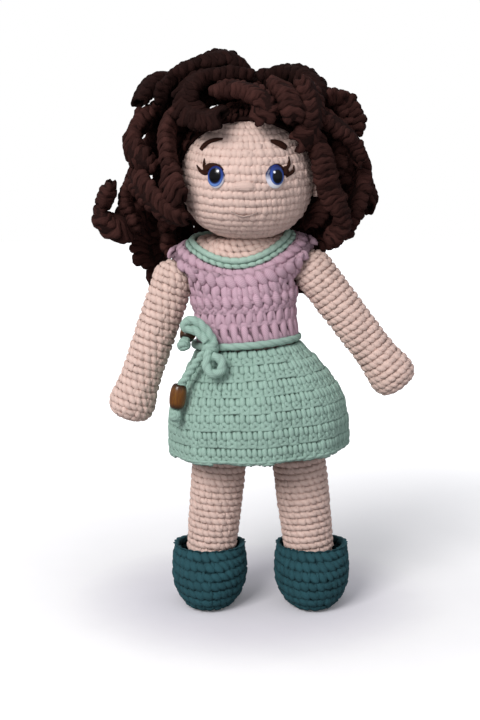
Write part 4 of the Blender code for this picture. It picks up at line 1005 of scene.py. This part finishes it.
def ring(centre, half_width, half_depth):
    angles = circle(SIDES)
    return np.column_stack([centre[0] + half_width * np.cos(angles),
                            centre[1] + half_depth * np.sin(angles), np.full(SIDES, centre[2])])


def trunk_row(share):
    """One ring of the dress's upper part, at a share of the way up its rows."""
    at = np.clip(share, 0, 1) * 80
    height, shift, width, depth, dip = [np.interp(at, np.arange(81), TRUNK_FINE[:, k])
                                        for k in range(5)]
    z = WAIST_HEIGHT + height * (NECKLINE_HEIGHT - WAIST_HEIGHT)
    row = ring((shift * TRUNK_LEAN, 0, z), width * CHEST_HALF_WIDTH, depth * CHEST_HALF_DEPTH)
    angles = circle(SIDES)
    row[:, 2] += SHOULDER_SLOPE_SHARE * (row[:, 0] - shift * TRUNK_LEAN)
    row[:, 2] -= dip * CHEST_HALF_DEPTH * ((1 - np.sin(angles)) / 2) ** 3
    return row


def trunk_grid(low, high, count=41):
    return np.array([trunk_row(share) for share in np.linspace(low, high, count)])


def skirt_grid():
    angles = circle(SIDES)
    made = []
    for drop, shift, width, depth in smooth_steps(SKIRT_ROW_SHARES, 61):
        z = WAIST_HEIGHT - drop * SKIRT_DROP
        half_width = CHEST_HALF_WIDTH + width * (SKIRT_HALF_WIDTH - CHEST_HALF_WIDTH)
        half_depth = CHEST_HALF_DEPTH + depth * (SKIRT_HALF_DEPTH - CHEST_HALF_DEPTH)
        row = ring((shift * TRUNK_LEAN, 0, z), half_width, half_depth)
        fold = SKIRT_FOLD * drop ** 2 * np.cos(SKIRT_FOLDS * angles)
        row[:, 0] += fold * np.cos(angles)
        row[:, 1] += fold * np.sin(angles)
        slope = SHOULDER_SLOPE_SHARE * (1 - HEM_LEVEL_SHARE * drop)
        row[:, 2] += slope * (row[:, 0] - shift * TRUNK_LEAN)
        made.append(row)
    return np.array(made)


def clear_of_arms(at, out):
    far = [np.linalg.norm(at - SHOULDERS[side], axis=1) for side in (-1, 1)]
    return np.minimum(*far) > ARM_RADIUS + 0.0026


def make_dress():
    grid = skirt_grid()
    skirt = wrapped("dress_skirt", "mint", grid, DRESS_ROUND, low=-0.0024, high=-0.0013)
    relief = dress_up("dress_skirt", "mint",
                      rounds(grid, DRESS_ROUND, DRESS_STITCH, 0.0040, lift=-0.0019),
                      POST, seed=12, fullness=1.06, unevenness=0.10, wobble=0.055)
    bottom = rounds(grid[:3], 0.0030, 0.0050, 0.0036, lift=-0.0018)
    hem = dress_up("dress_skirt", "mint", bottom[:1], CHAIN, label="hem", seed=13)
    bodice = ground("dress_bodice", "lilac", 0.0010, inward=0.0003)
    grid = trunk_grid(0.0, BODICE_TOP_SHARE + 0.02, 61)
    cells = rounds(grid, 0, DRESS_STITCH, 0.0040, keep=clear_of_arms, lift=-0.0010,
                   heights=BODICE_ROW_SHARES)
    rows = ((SLAB, cells[0:1] + cells[3:4], "posts"), (EYELET, cells[1:2], "eyelets"),
            (LEAF, cells[2:3], "leaves"), (OVERLAP, cells[4:5], "overlaps"),
            (DIMPLE, cells[5:], "top"))
    relief = [dress_up("dress_bodice", "lilac", spots, stitch, label=label, seed=14 + number,
                       fullness=1.05, unevenness=0.10, wobble=0.06)
              for number, (stitch, spots, label) in enumerate(rows)]
    ground("neckline_trim", "trim", 0.0006)
    edge = trunk_grid(BODICE_TOP_SHARE + 0.02, 1.0)
    half = len(edge) // 2
    dress_up("neckline_trim", "trim",
             rounds(edge[:half + 1], 0.0040, TRIM_STITCH, 0.0030), BAR, seed=15)
    dress_up("neckline_trim", "trim",
             rounds(edge[half - 3:], 0.0060, 0.0042, 0.0046, lift=-0.0006, overlap=1.45), CHAIN,
             label="edge", seed=16, unevenness=0.03, wobble=0.02)


def make_body():
    body = ground("body", "skin", 0.0007)
    top = trunk_row(1.0)
    middle = top.mean(axis=0)
    inner = middle + (top - middle) * 0.97
    inner[:, 2] = top[:, 2] - 0.0004
    neck = ring(NECK_TOP - np.array([0, 0, 0.0059]), NECK_RADIUS, NECK_RADIUS)
    grid = np.array([inner + (neck - inner) * share for share in np.linspace(0, 1, 13)])
    dress_up("body", "skin", rounds(grid, 0.0036, 0.0038, 0.0026), DIMPLE,
             seed=21, fullness=1.12, unevenness=0.14, wobble=0.16)


# Arms, legs and slippers
ARM_TUCK = 0.0016
LIMB_LAY = {"stitch": DIMPLE, "fullness": 1.12, "unevenness": 0.16, "wobble": 0.18}
ARM_SHARES = (
    (0.00, 1.00), (0.20, 0.99), (0.45, 0.97), (0.66, 0.95), (0.76, 1.00), (0.85, 1.10),
    (0.92, 1.05), (0.97, 0.78), (1.00, 0.00),
)
LEG_SHARES = ((0.00, 1.00), (0.30, 1.00), (0.55, 0.97), (0.78, 0.92), (0.90, 0.90))
SHOE_ROW_SHARES = (
    (0.00, 0.60, 0.76, 0.68), (0.05, 0.74, 0.88, 0.80), (0.20, 0.90, 0.97, 0.94),
    (0.40, 0.99, 1.00, 1.00), (0.62, 1.00, 0.96, 1.00), (0.82, 0.98, 0.80, 0.97),
    (1.00, 0.93, 0.62, 0.92),
)


def limb_grid(profile, at, spread, side):
    """Rings of a turned limb from its far end up to its joint."""
    profile = np.array(profile)[::-1]
    run = run_of(profile)
    local = lathe(along(profile, run, np.linspace(0, run[-1], 90)), 48)
    turn = np.array(Matrix.Rotation(-side * spread, 3, "Y"))
    return local @ turn.T + at


def round_top(radius):
    return [(radius * math.sin(a), radius * math.cos(a))
            for a in np.linspace(0.05, math.pi / 2, 12, endpoint=False)]


def make_arm(side):
    node = "arm_" + SIDE_NAMES[side]
    line = smooth_steps(ARM_SHARES, 61)
    line[-1, 1] = 0.02
    bulb = HAND_RADIUS / (1.10 * ARM_RADIUS)
    swell = np.interp(line[:, 0], (0.66, 0.85), (1.0, bulb))
    profile = round_top(ARM_RADIUS)
    profile += [(r * s * ARM_RADIUS, -d * (ARM_LENGTH - ARM_TUCK))
                for (d, r), s in zip(line, swell)]
    grid = limb_grid(profile, SHOULDERS[side], ARM_SPREADS[side], side)
    stuffed(node, "skin", grid, ARM_ROUND)
    dress_up(node, "skin", rounds(grid, ARM_ROUND, ARM_STITCH, 0.0028, least=4),
             seed=30 + side, **LIMB_LAY)


def make_leg(side):
    node = "leg_" + SIDE_NAMES[side]
    taper = (ANKLE_RADIUS / LEG_RADIUS - 1) / (LEG_SHARES[-1][1] - 1)
    reach = HIP_HEIGHT - SHOE_HEIGHT / 2
    profile = round_top(LEG_RADIUS)[4:]
    profile += [(LEG_RADIUS * (1 + (r - 1) * taper), -d * reach)
                for d, r in smooth_steps(LEG_SHARES, 41)]
    grid = limb_grid(profile, HIPS[side], LEG_SPREADS[side], side)
    stuffed(node, "skin", grid, LEG_ROUND, low=-0.0011)
    dress_up(node, "skin", rounds(grid, LEG_ROUND, LEG_STITCH, 0.0028,
                                  keep=lambda at, out: at[:, 2] > SHOE_HEIGHT * 0.9),
             seed=34 + side, **LIMB_LAY)


def shoe_grid(side):
    table = smooth_steps(SHOE_ROW_SHARES, 61)
    spread = LEG_SPREADS[side]
    middle = HIPS[side][0] + side * math.tan(spread) * (HIP_HEIGHT - SHOE_HEIGHT / 2)
    made = []
    for height in np.linspace(0, 1, 41):
        width, toe, heel = [np.interp(height, table[:, 0], table[:, k]) for k in (1, 2, 3)]
        row = ring((middle, 0, height * SHOE_HEIGHT), width * SHOE_HALF_WIDTH, 1.0)
        forward = row[:, 1] < 0
        row[:, 1] = np.where(forward, row[:, 1] * toe * SHOE_TOE, row[:, 1] * heel * SHOE_HEEL)
        made.append(row)
    return np.array(made)


def make_shoe(side):
    node = "shoe_" + SIDE_NAMES[side]
    ground(node, "teal", 0.0010)
    grid = shoe_grid(side)
    dress_up(node, "teal", rounds(grid, SHOE_ROUND, SHOE_STITCH, 0.0032), DIMPLE,
             seed=40 + side, fullness=1.10, unevenness=0.14, wobble=0.14)
    rim = rounds(grid[-2:], 0.004, 0.0042, 0.0040, first=0.9, lift=-0.0006)
    dress_up(node, "teal", rim[:1], CHAIN, label="rim", seed=44 + side)


# Cords, knots and beads
KNOT_ANGLE = math.radians(226)
WAIST_GAP = 0.0004         # between the waist cord and the dress


def rope(line, radius, turn=0.0080, sides=20, twist=0.40):
    """A cord of two strands that wind round each other, along a line."""
    fine = even_route(line, 0.0005)
    _, across, out = frames_along(fine)
    angles = circle(sides)[None, :]
    wound = 2 * math.pi * run_of(fine)[:, None] / turn
    swell = np.abs(np.cos(angles - wound))
    reach = radius * (1.06 - twist + twist * swell)
    rings = (fine[:, None, :] + (reach * np.cos(angles))[:, :, None] * across[:, None, :]
             + (reach * np.sin(angles))[:, :, None] * out[:, None, :])
    # The rise is low in the groove between the strands, where the yarn takes its painted shade.
    return skin(rings), (0.25 + 0.75 * swell).ravel(), fine


def make_rope(name, line, node, radius, **options):
    part, rise, fine = rope(line, radius, **options)
    return stand_for(place(name, mesh_of(name, [part], [rise]), YARNS["mint"]), node), fine


def make_knot(name, centre, radius, node, seed):
    """A knot of cord: four turns that lie over each other."""
    parts, rises = [], []
    turner = np.random.default_rng(seed)
    angles = np.linspace(0, 2 * math.pi, 33)
    size = radius * 0.60
    for number in range(4):
        axis = unit(turner.normal(size=3))
        first = unit(np.cross(axis, (0.3, 0.5, 0.8)))
        second = np.cross(axis, first)
        lie = axis * radius * (0.22 * (-1) ** number)
        line = (centre + lie + size * np.cos(angles)[:, None] * first
                + size * np.sin(angles)[:, None] * second)
        part, rise, _ = rope(line, radius * 0.46, turn=radius * 2.2, sides=14, twist=0.25)
        parts.append(part)
        rises.append(rise)
    return stand_for(place(name, mesh_of(name, parts, rises), YARNS["mint"]), node)


def node_line(node, sides):
    """The middle line of a capped tube node, ring by ring from one end."""
    made = merged_copy(node, node + "_line")
    work = bmesh.new()
    work.from_mesh(made)
    flat = work.copy()
    bmesh.ops.dissolve_limit(flat, angle_limit=0.01, verts=flat.verts, edges=flat.edges)
    spots = {tuple(round(c, 6) for c in v.co): v for v in work.verts}
    caps = [[spots[tuple(round(c, 6) for c in v.co)] for v in face.verts]
            for face in flat.faces if len(face.verts) == sides]
    for layer in caps:
        seen = {v.index for v in layer}
        middles = []
        while len(layer) == sides:
            middles.append(np.mean([tuple(v.co) for v in layer], axis=0))
            after = {e.other_vert(v) for v in layer for e in v.link_edges}
            layer = [v for v in after if v.index not in seen]
            seen.update(v.index for v in layer)
        if not layer and len(middles) * sides == len(work.verts):
            break
    work.free()
    flat.free()
    bpy.data.meshes.remove(made)
    return np.array(middles)


def waist_point(angle, stand):
    side = (CHEST_HALF_WIDTH + WAIST_GAP + CORD_RADIUS + stand) * math.cos(angle)
    return np.array([-0.70 * TRUNK_LEAN + side,
                     (CHEST_HALF_DEPTH + WAIST_GAP + CORD_RADIUS + stand) * math.sin(angle),
                     WAIST_HEIGHT - WAIST_GAP + SHOULDER_SLOPE_SHARE * side])


def bow_point(px, py, depth):
    """The point at a depth that a point of the picture shows."""
    way = ray(px, py)
    return CAMERA_AT + way * ((depth - CAMERA_AT.y) / way.y)


# The bow as the picture shows it: points of the picture, with depths in millimetres
BOW_CORD_RADIUS = 0.0021
BOW_KNOT_SPOT = (211, 347, -23.2)
BOW_SPOTS = {
    "upper": ((214.5, 348, -22.5), (211.5, 338, -22.3), (205, 328.5, -21.5), (197, 322, -20.5),
              (190, 320.4, -19.8), (185.4, 322.6, -19.4), (184.8, 327, -19.4),
              (188.5, 329.2, -19.8), (194, 330.2, -20.6), (200, 334.4, -21.8), (207, 342, -23.5)),
    "lower": ((211, 348, -23.5), (207.6, 357, -27.0), (206.6, 365.5, -29.2),
              (209.6, 372.2, -30.6), (215.4, 374, -31.0), (220.8, 370.6, -30.8),
              (222.2, 364.4, -29.8), (219.2, 358.4, -28.8), (213, 356.6, -27.6)),
    "front": ((206, 350, -21.5), (200, 358, -22.2), (193.6, 366.6, -22.8), (187, 376, -23.4),
              (181.6, 384.4, -23.8), (178.6, 392, -24.0), (176.4, 408.5, -24.2)),
    "back": ((207, 341, -21.0), (205, 334, -17.5), (201.5, 326, -11.5), (198, 321.6, -8.0),
             (194.6, 320.4, -6.4), (192.2, 322.2, -6.6), (190.8, 326.4, -8.6),
             (185.8, 339.3, -14.6)),
}


def bow_line(name):
    return [bow_point(px, py, depth / 1000) for px, py, depth in BOW_SPOTS[name]]


def bead_finish():
    made, tree, shader = blank_finish("varnished_wood", 0.30, Coat_Weight=0.25,
                                      Coat_Roughness=0.10, Specular_IOR_Level=0.3)
    stretched = wire(tree, "ShaderNodeMapping", {"Vector": strand_map(tree),
                                                 "Scale": (2.0, 26.0, 1.0)})
    grain = noise(tree, stretched.outputs["Vector"], Scale=1.6, Detail=4.0, Distortion=1.2)
    tones = ramp(tree, grain, [(0.25, (0.070, 0.018, 0.003)), (0.55, (0.150, 0.052, 0.004)),
                               (0.85, (0.230, 0.100, 0.003))])
    dark = ramp(tree, stored(tree, "rise"), [(0.0, (0.10,) * 3), (0.45, (0.45,) * 3),
                                             (0.95, (1.0,) * 3)])
    feed(tree, shader, {"Base Color": multiply(tree, tones, dark)})
    return made


def make_bead(node, centre, axis, finish):
    half = BEAD_LENGTH / 2
    end = BEAD_RADIUS * 0.66
    barrel = [(end + (BEAD_RADIUS - end) * math.sin(a), half * 0.94 * math.cos(a))
              for a in np.linspace(math.radians(20), math.radians(160), 22)]
    profile = np.array([(BEAD_BORE, half * 0.9), (BEAD_BORE * 1.08, half), (end * 0.96, half)]
                       + barrel + [(end * 0.96, -half), (BEAD_BORE * 1.08, -half),
                                   (BEAD_BORE, -half * 0.9)])[::-1]
    turn = np.array(Vector(axis).to_track_quat("Z", "Y").to_matrix())
    rings = lathe(profile, 36) @ turn.T + np.array(centre)
    rise = np.repeat(np.clip(1 - np.abs(profile[:, 1]) / half, 0, 1) * 2, 36)
    made = mesh_of(node + "_wood", [skin(rings, cyclic=True)], [np.clip(rise, 0, 1)])
    return stand_for(place(node + "_wood", faced_out(made), finish), node)


def make_tie():
    waist = [waist_point(a, -0.0008 - 0.0016 * max(0.0, math.cos(a)))
             for a in np.linspace(KNOT_ANGLE + 0.05, KNOT_ANGLE + 2 * math.pi - 0.05, 48)]
    make_rope("waist_cord", waist, "waist_tie", CORD_RADIUS, turn=0.012, twist=0.14)
    knot_at = bow_point(*BOW_KNOT_SPOT[:2], BOW_KNOT_SPOT[2] / 1000)
    make_knot("bow_knot_turns", np.array(knot_at), KNOT_RADIUS, "bow_knot", 4)
    for name in ("upper", "lower"):
        make_rope("bow_" + name, bow_line(name), "bow_loop_" + name, BOW_CORD_RADIUS + 0.0001,
                  turn=0.010, twist=0.20)
    wood = bead_finish()
    for name, seed in (("front", 5), ("back", 6)):
        route = bow_line(name)
        cord, fine = make_rope(f"tie_{name}_cord", route, "tie_end_" + name, BOW_CORD_RADIUS)
        way = Vector(route[-1]) - Vector(route[-2])
        way.normalize()
        past_end = END_KNOT_RADIUS + 0.0004
        end_at = Vector(route[-1]) + way * past_end
        end = make_knot(f"tie_{name}_knot", np.array(end_at), END_KNOT_RADIUS,
                        "end_knot_" + name, seed)
        bead_at = end_at - way * (past_end + BEAD_LENGTH / 2)
        bead = make_bead("bead_" + name, bead_at, way, wood)


# Hair
def rib_mesh(name, slant, chevron, dent):
    """One rib of a crocheted ribbon: a thick closed loop with a knot at each edge."""
    turns = circle(24)
    x, z = np.cos(turns), np.sin(turns)
    lean = (slant * x + chevron * (0.5 - np.abs(x)) + 0.22 * np.sign(z) * (1 - np.abs(x)) ** 2
            + 0.10 * np.sin(4 * turns + 1.0))
    flat = 0.74 * z * (1 - dent * np.exp(-(x / 0.28) ** 2))
    spine = np.column_stack([x, lean, flat])
    radial = unit(np.column_stack([x * 0.74, 0 * turns, z]))
    thick = 0.31 + 0.09 * np.abs(x) ** 4 + 0.065 * np.cos(5 * turns + 0.6)
    around = circle(8)
    rings = (spine[:, None, :]
             + (thick[:, None] * np.cos(around))[:, :, None] * radial[:, None, :]
             + (1.25 * thick[:, None] * np.sin(around))[:, :, None] * np.array([0, 1, 0]))
    # The rise is low on the rib's inner side, where the chenille takes its painted shade.
    rise = np.clip((np.cos(np.tile(around, 24)) + 0.1) / 0.9, 0, 1)
    return template(name, faced_out(mesh_of(name, [skin(rings, cyclic=True)], [rise])))


RIBS = (rib_mesh("slanted_rib", 0.30, 0.0, 0.05), rib_mesh("plaited_rib", 0.06, 0.62, 0.34),
        rib_mesh("leaning_rib", -0.34, 0.20, 0.18))


def ribbon_core(name, line, across, out, reach):
    """The dark middle of a ribbon, painted shade between its ribs: a flat tube with round ends.
    """
    angles = circle(16)
    wide = (reach * RIBBON_HALF_WIDTH * 1.12)[:, None, None]
    thick = (reach * RIBBON_HALF_DEPTH * 0.90)[:, None, None]
    rings = (line[:, None, :] + wide * np.cos(angles)[None, :, None] * across[:, None, :]
             + thick * np.sin(angles)[None, :, None] * out[:, None, :])
    return place(name, mesh_of(name, [skin(rings)]), CLOTHS["brown"])


def make_ribbon(name, line, number, width=1.0, node=None, shape=None):
    """A curl: a core with ribs across it from root to tip."""
    line = even_route(line, RIB_STEP)
    away = unit(line - HEAD_CENTRE)
    tangent, across, out = frames_along(line, away)
    phase = rng.uniform(0, 2 * math.pi)
    twist = 0.40 * np.sin(np.arange(len(line)) * rng.uniform(0.14, 0.26) + phase)
    turned_across = across * np.cos(twist)[:, None] + out * np.sin(twist)[:, None]
    turned_out = np.cross(turned_across, tangent)
    reach = np.linspace(0, 1, len(line))
    taper = np.minimum(1, 0.82 + 0.18 * np.sin(math.pi * np.clip(reach * 4, 0, 0.5)))
    taper *= np.minimum(1, 0.78 + 0.22 * np.sin(math.pi * np.clip((1 - reach) * 5, 0, 0.5)))
    if shape is not None:
        taper = np.interp(reach, *np.array(shape).T)
    size = np.column_stack([taper * width * RIBBON_HALF_WIDTH,
                            np.full(len(line), RIB_STEP * 1.70), taper * RIBBON_HALF_DEPTH])
    spots = [(line, turned_across, tangent, turned_out, size)]
    # Ribbons high on the head take the darker chenille: painted shade on the top of the hair.
    high = line[:, 2].mean() > HEAD_HEIGHT + CROWN_SHARE * HEAD_RADIUS
    ribs = lay_stitches(name + "_ribs", spots, RIBS[(0, 1, 2, 1)[number % 4]],
                        YARNS["shadow" if high else "brown"], seed=60 + number,
                        unevenness=0.12, wobble=0.16)
    core = ribbon_core(name + "_core", line, turned_across, turned_out, taper)
    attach(ribs, "head")
    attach(core, "head")
    if node is not None:
        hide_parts(node)


# Ribbons behind and between the ones that stand out, as shares of the head's radius
UNDER_RIBBON_SHARES = (
    ((-0.20, 0.10, 1.35), (-0.50, 0.05, 1.30), (-0.80, 0.00, 1.16), (-1.10, 0.05, 0.92)),
    ((0.70, 0.30, 1.25), (1.10, 0.25, 1.15), (1.45, 0.20, 0.90), (1.55, 0.30, 0.60)),
    ((1.30, 0.60, 0.50), (1.50, 0.55, 0.10), (1.55, 0.50, -0.30), (1.50, 0.50, -0.65)),
    ((-1.50, 0.40, 0.30), (-1.75, 0.35, -0.10), (-1.85, 0.30, -0.45), (-1.70, 0.30, -0.78)),
    ((-1.35, 0.80, -0.20), (-1.54, 0.75, -0.70), (-1.62, 0.80, -1.08), (-1.52, 0.88, -1.36)),
    ((-1.20, 0.60, -0.30), (-1.24, 0.60, -0.75), (-1.18, 0.62, -1.16)),
    ((-1.00, 0.30, 1.25), (-1.30, 0.25, 1.05), (-1.60, 0.20, 0.80)),
    ((-0.95, 0.20, 1.02), (-0.60, 0.10, 1.18), (-0.20, 0.10, 1.22), (0.20, 0.20, 1.22)),
    ((-0.30, 0.30, 1.42), (0.10, 0.25, 1.46), (0.50, 0.30, 1.38), (0.80, 0.35, 1.22)),
    ((1.00, 0.10, 1.00), (1.20, 0.05, 0.72), (1.32, 0.10, 0.40), (1.32, 0.15, 0.10)),
    ((-0.92, 0.10, 1.05), (-0.98, 0.00, 0.80), (-1.06, 0.00, 0.40), (-1.05, 0.05, 0.10)),
    ((1.04, 0.05, 0.30), (1.10, 0.10, -0.05), (1.06, 0.15, -0.40), (0.96, 0.20, -0.70)),
)
# How far a ribbon settles from its middle line, at its start and at its end
SETTLED = {
    "hair_brow_left": ((0.0, 0.0, 0.0048), (0.0, 0.0, 0.0)),
    "hair_top_loop": ((0.0, 0.0, -0.0034), (0.0, 0.0, -0.0040)),
    "hair_loop_right": ((-0.0018, 0.0, -0.0028), (0.0, 0.0, -0.0010)),
    "hair_side_right": ((-0.0008, 0.0, 0.0), (-0.0036, 0.0, 0.0010)),
    "hair_nape_right": ((0.0, 0.0, 0.0), (0.0050, 0.0, 0.0)),
    "hair_crown_tip": ((0.0012, 0.0, -0.0015), (0.0, 0.0, 0.0)),
}
# The side curl's width along it, as (share of its length, share of the usual width)
CURL_TIP_SHARES = ((0.0, 0.80), (0.05, 1.0), (0.13, 0.98), (0.20, 0.66), (0.28, 1.05),
                   (0.38, 1.30), (0.55, 1.20), (1.0, 1.0))
CROWN_SHARE = 1.18         # height above which a ribbon takes the darker chenille, painted shade on the top of the hair, from the centre up


def make_hair():
    names = sorted(n for n in frame["nodes"] if n.startswith("hair_") and n != "hair_cap")
    for number, node in enumerate(names):
        line = node_line(node, 6)
        if node in SETTLED:
            start, end = np.array(SETTLED[node])
            reach = np.linspace(0, 1, len(line))[:, None]
            line = line + start * np.clip(1 - 2.2 * reach, 0, 1) + end * np.clip(2 * reach, 0, 1)
        make_ribbon(node, line, number, node=node,
                    width=1.35 if node == "hair_temple_left" else 1.0,
                    shape=CURL_TIP_SHARES if node == "hair_side_curl" else None)
    for number, shares in enumerate(UNDER_RIBBON_SHARES):
        line = HEAD_CENTRE + np.array(shares) * HEAD_RADIUS
        make_ribbon(f"under_ribbon_{number + 1}", line, 50 + number, width=1.25)


def finish_washers():
    """The washers stay as they are, in plain milky plastic."""
    milky = grained("washer_plastic", 0.4, 600.0, [(0.0, (0.74, 0.74, 0.76)),
                                                   (1.0, (0.84, 0.84, 0.86))])
    for side in SIDE_NAMES.values():
        data = frame["nodes"]["eye_washer_" + side].data
        data.materials.clear()
        data.materials.append(milky)


set_camera()
set_floor()
set_light()
make_tie()
make_dress()
make_body()
for side in (-1, 1):
    make_arm(side)
    make_leg(side)
    make_shoe(side)
make_head()
make_face()
make_hair()
finish_washers()
for shape in TEMPLATES:
    bpy.data.objects.remove(shape)
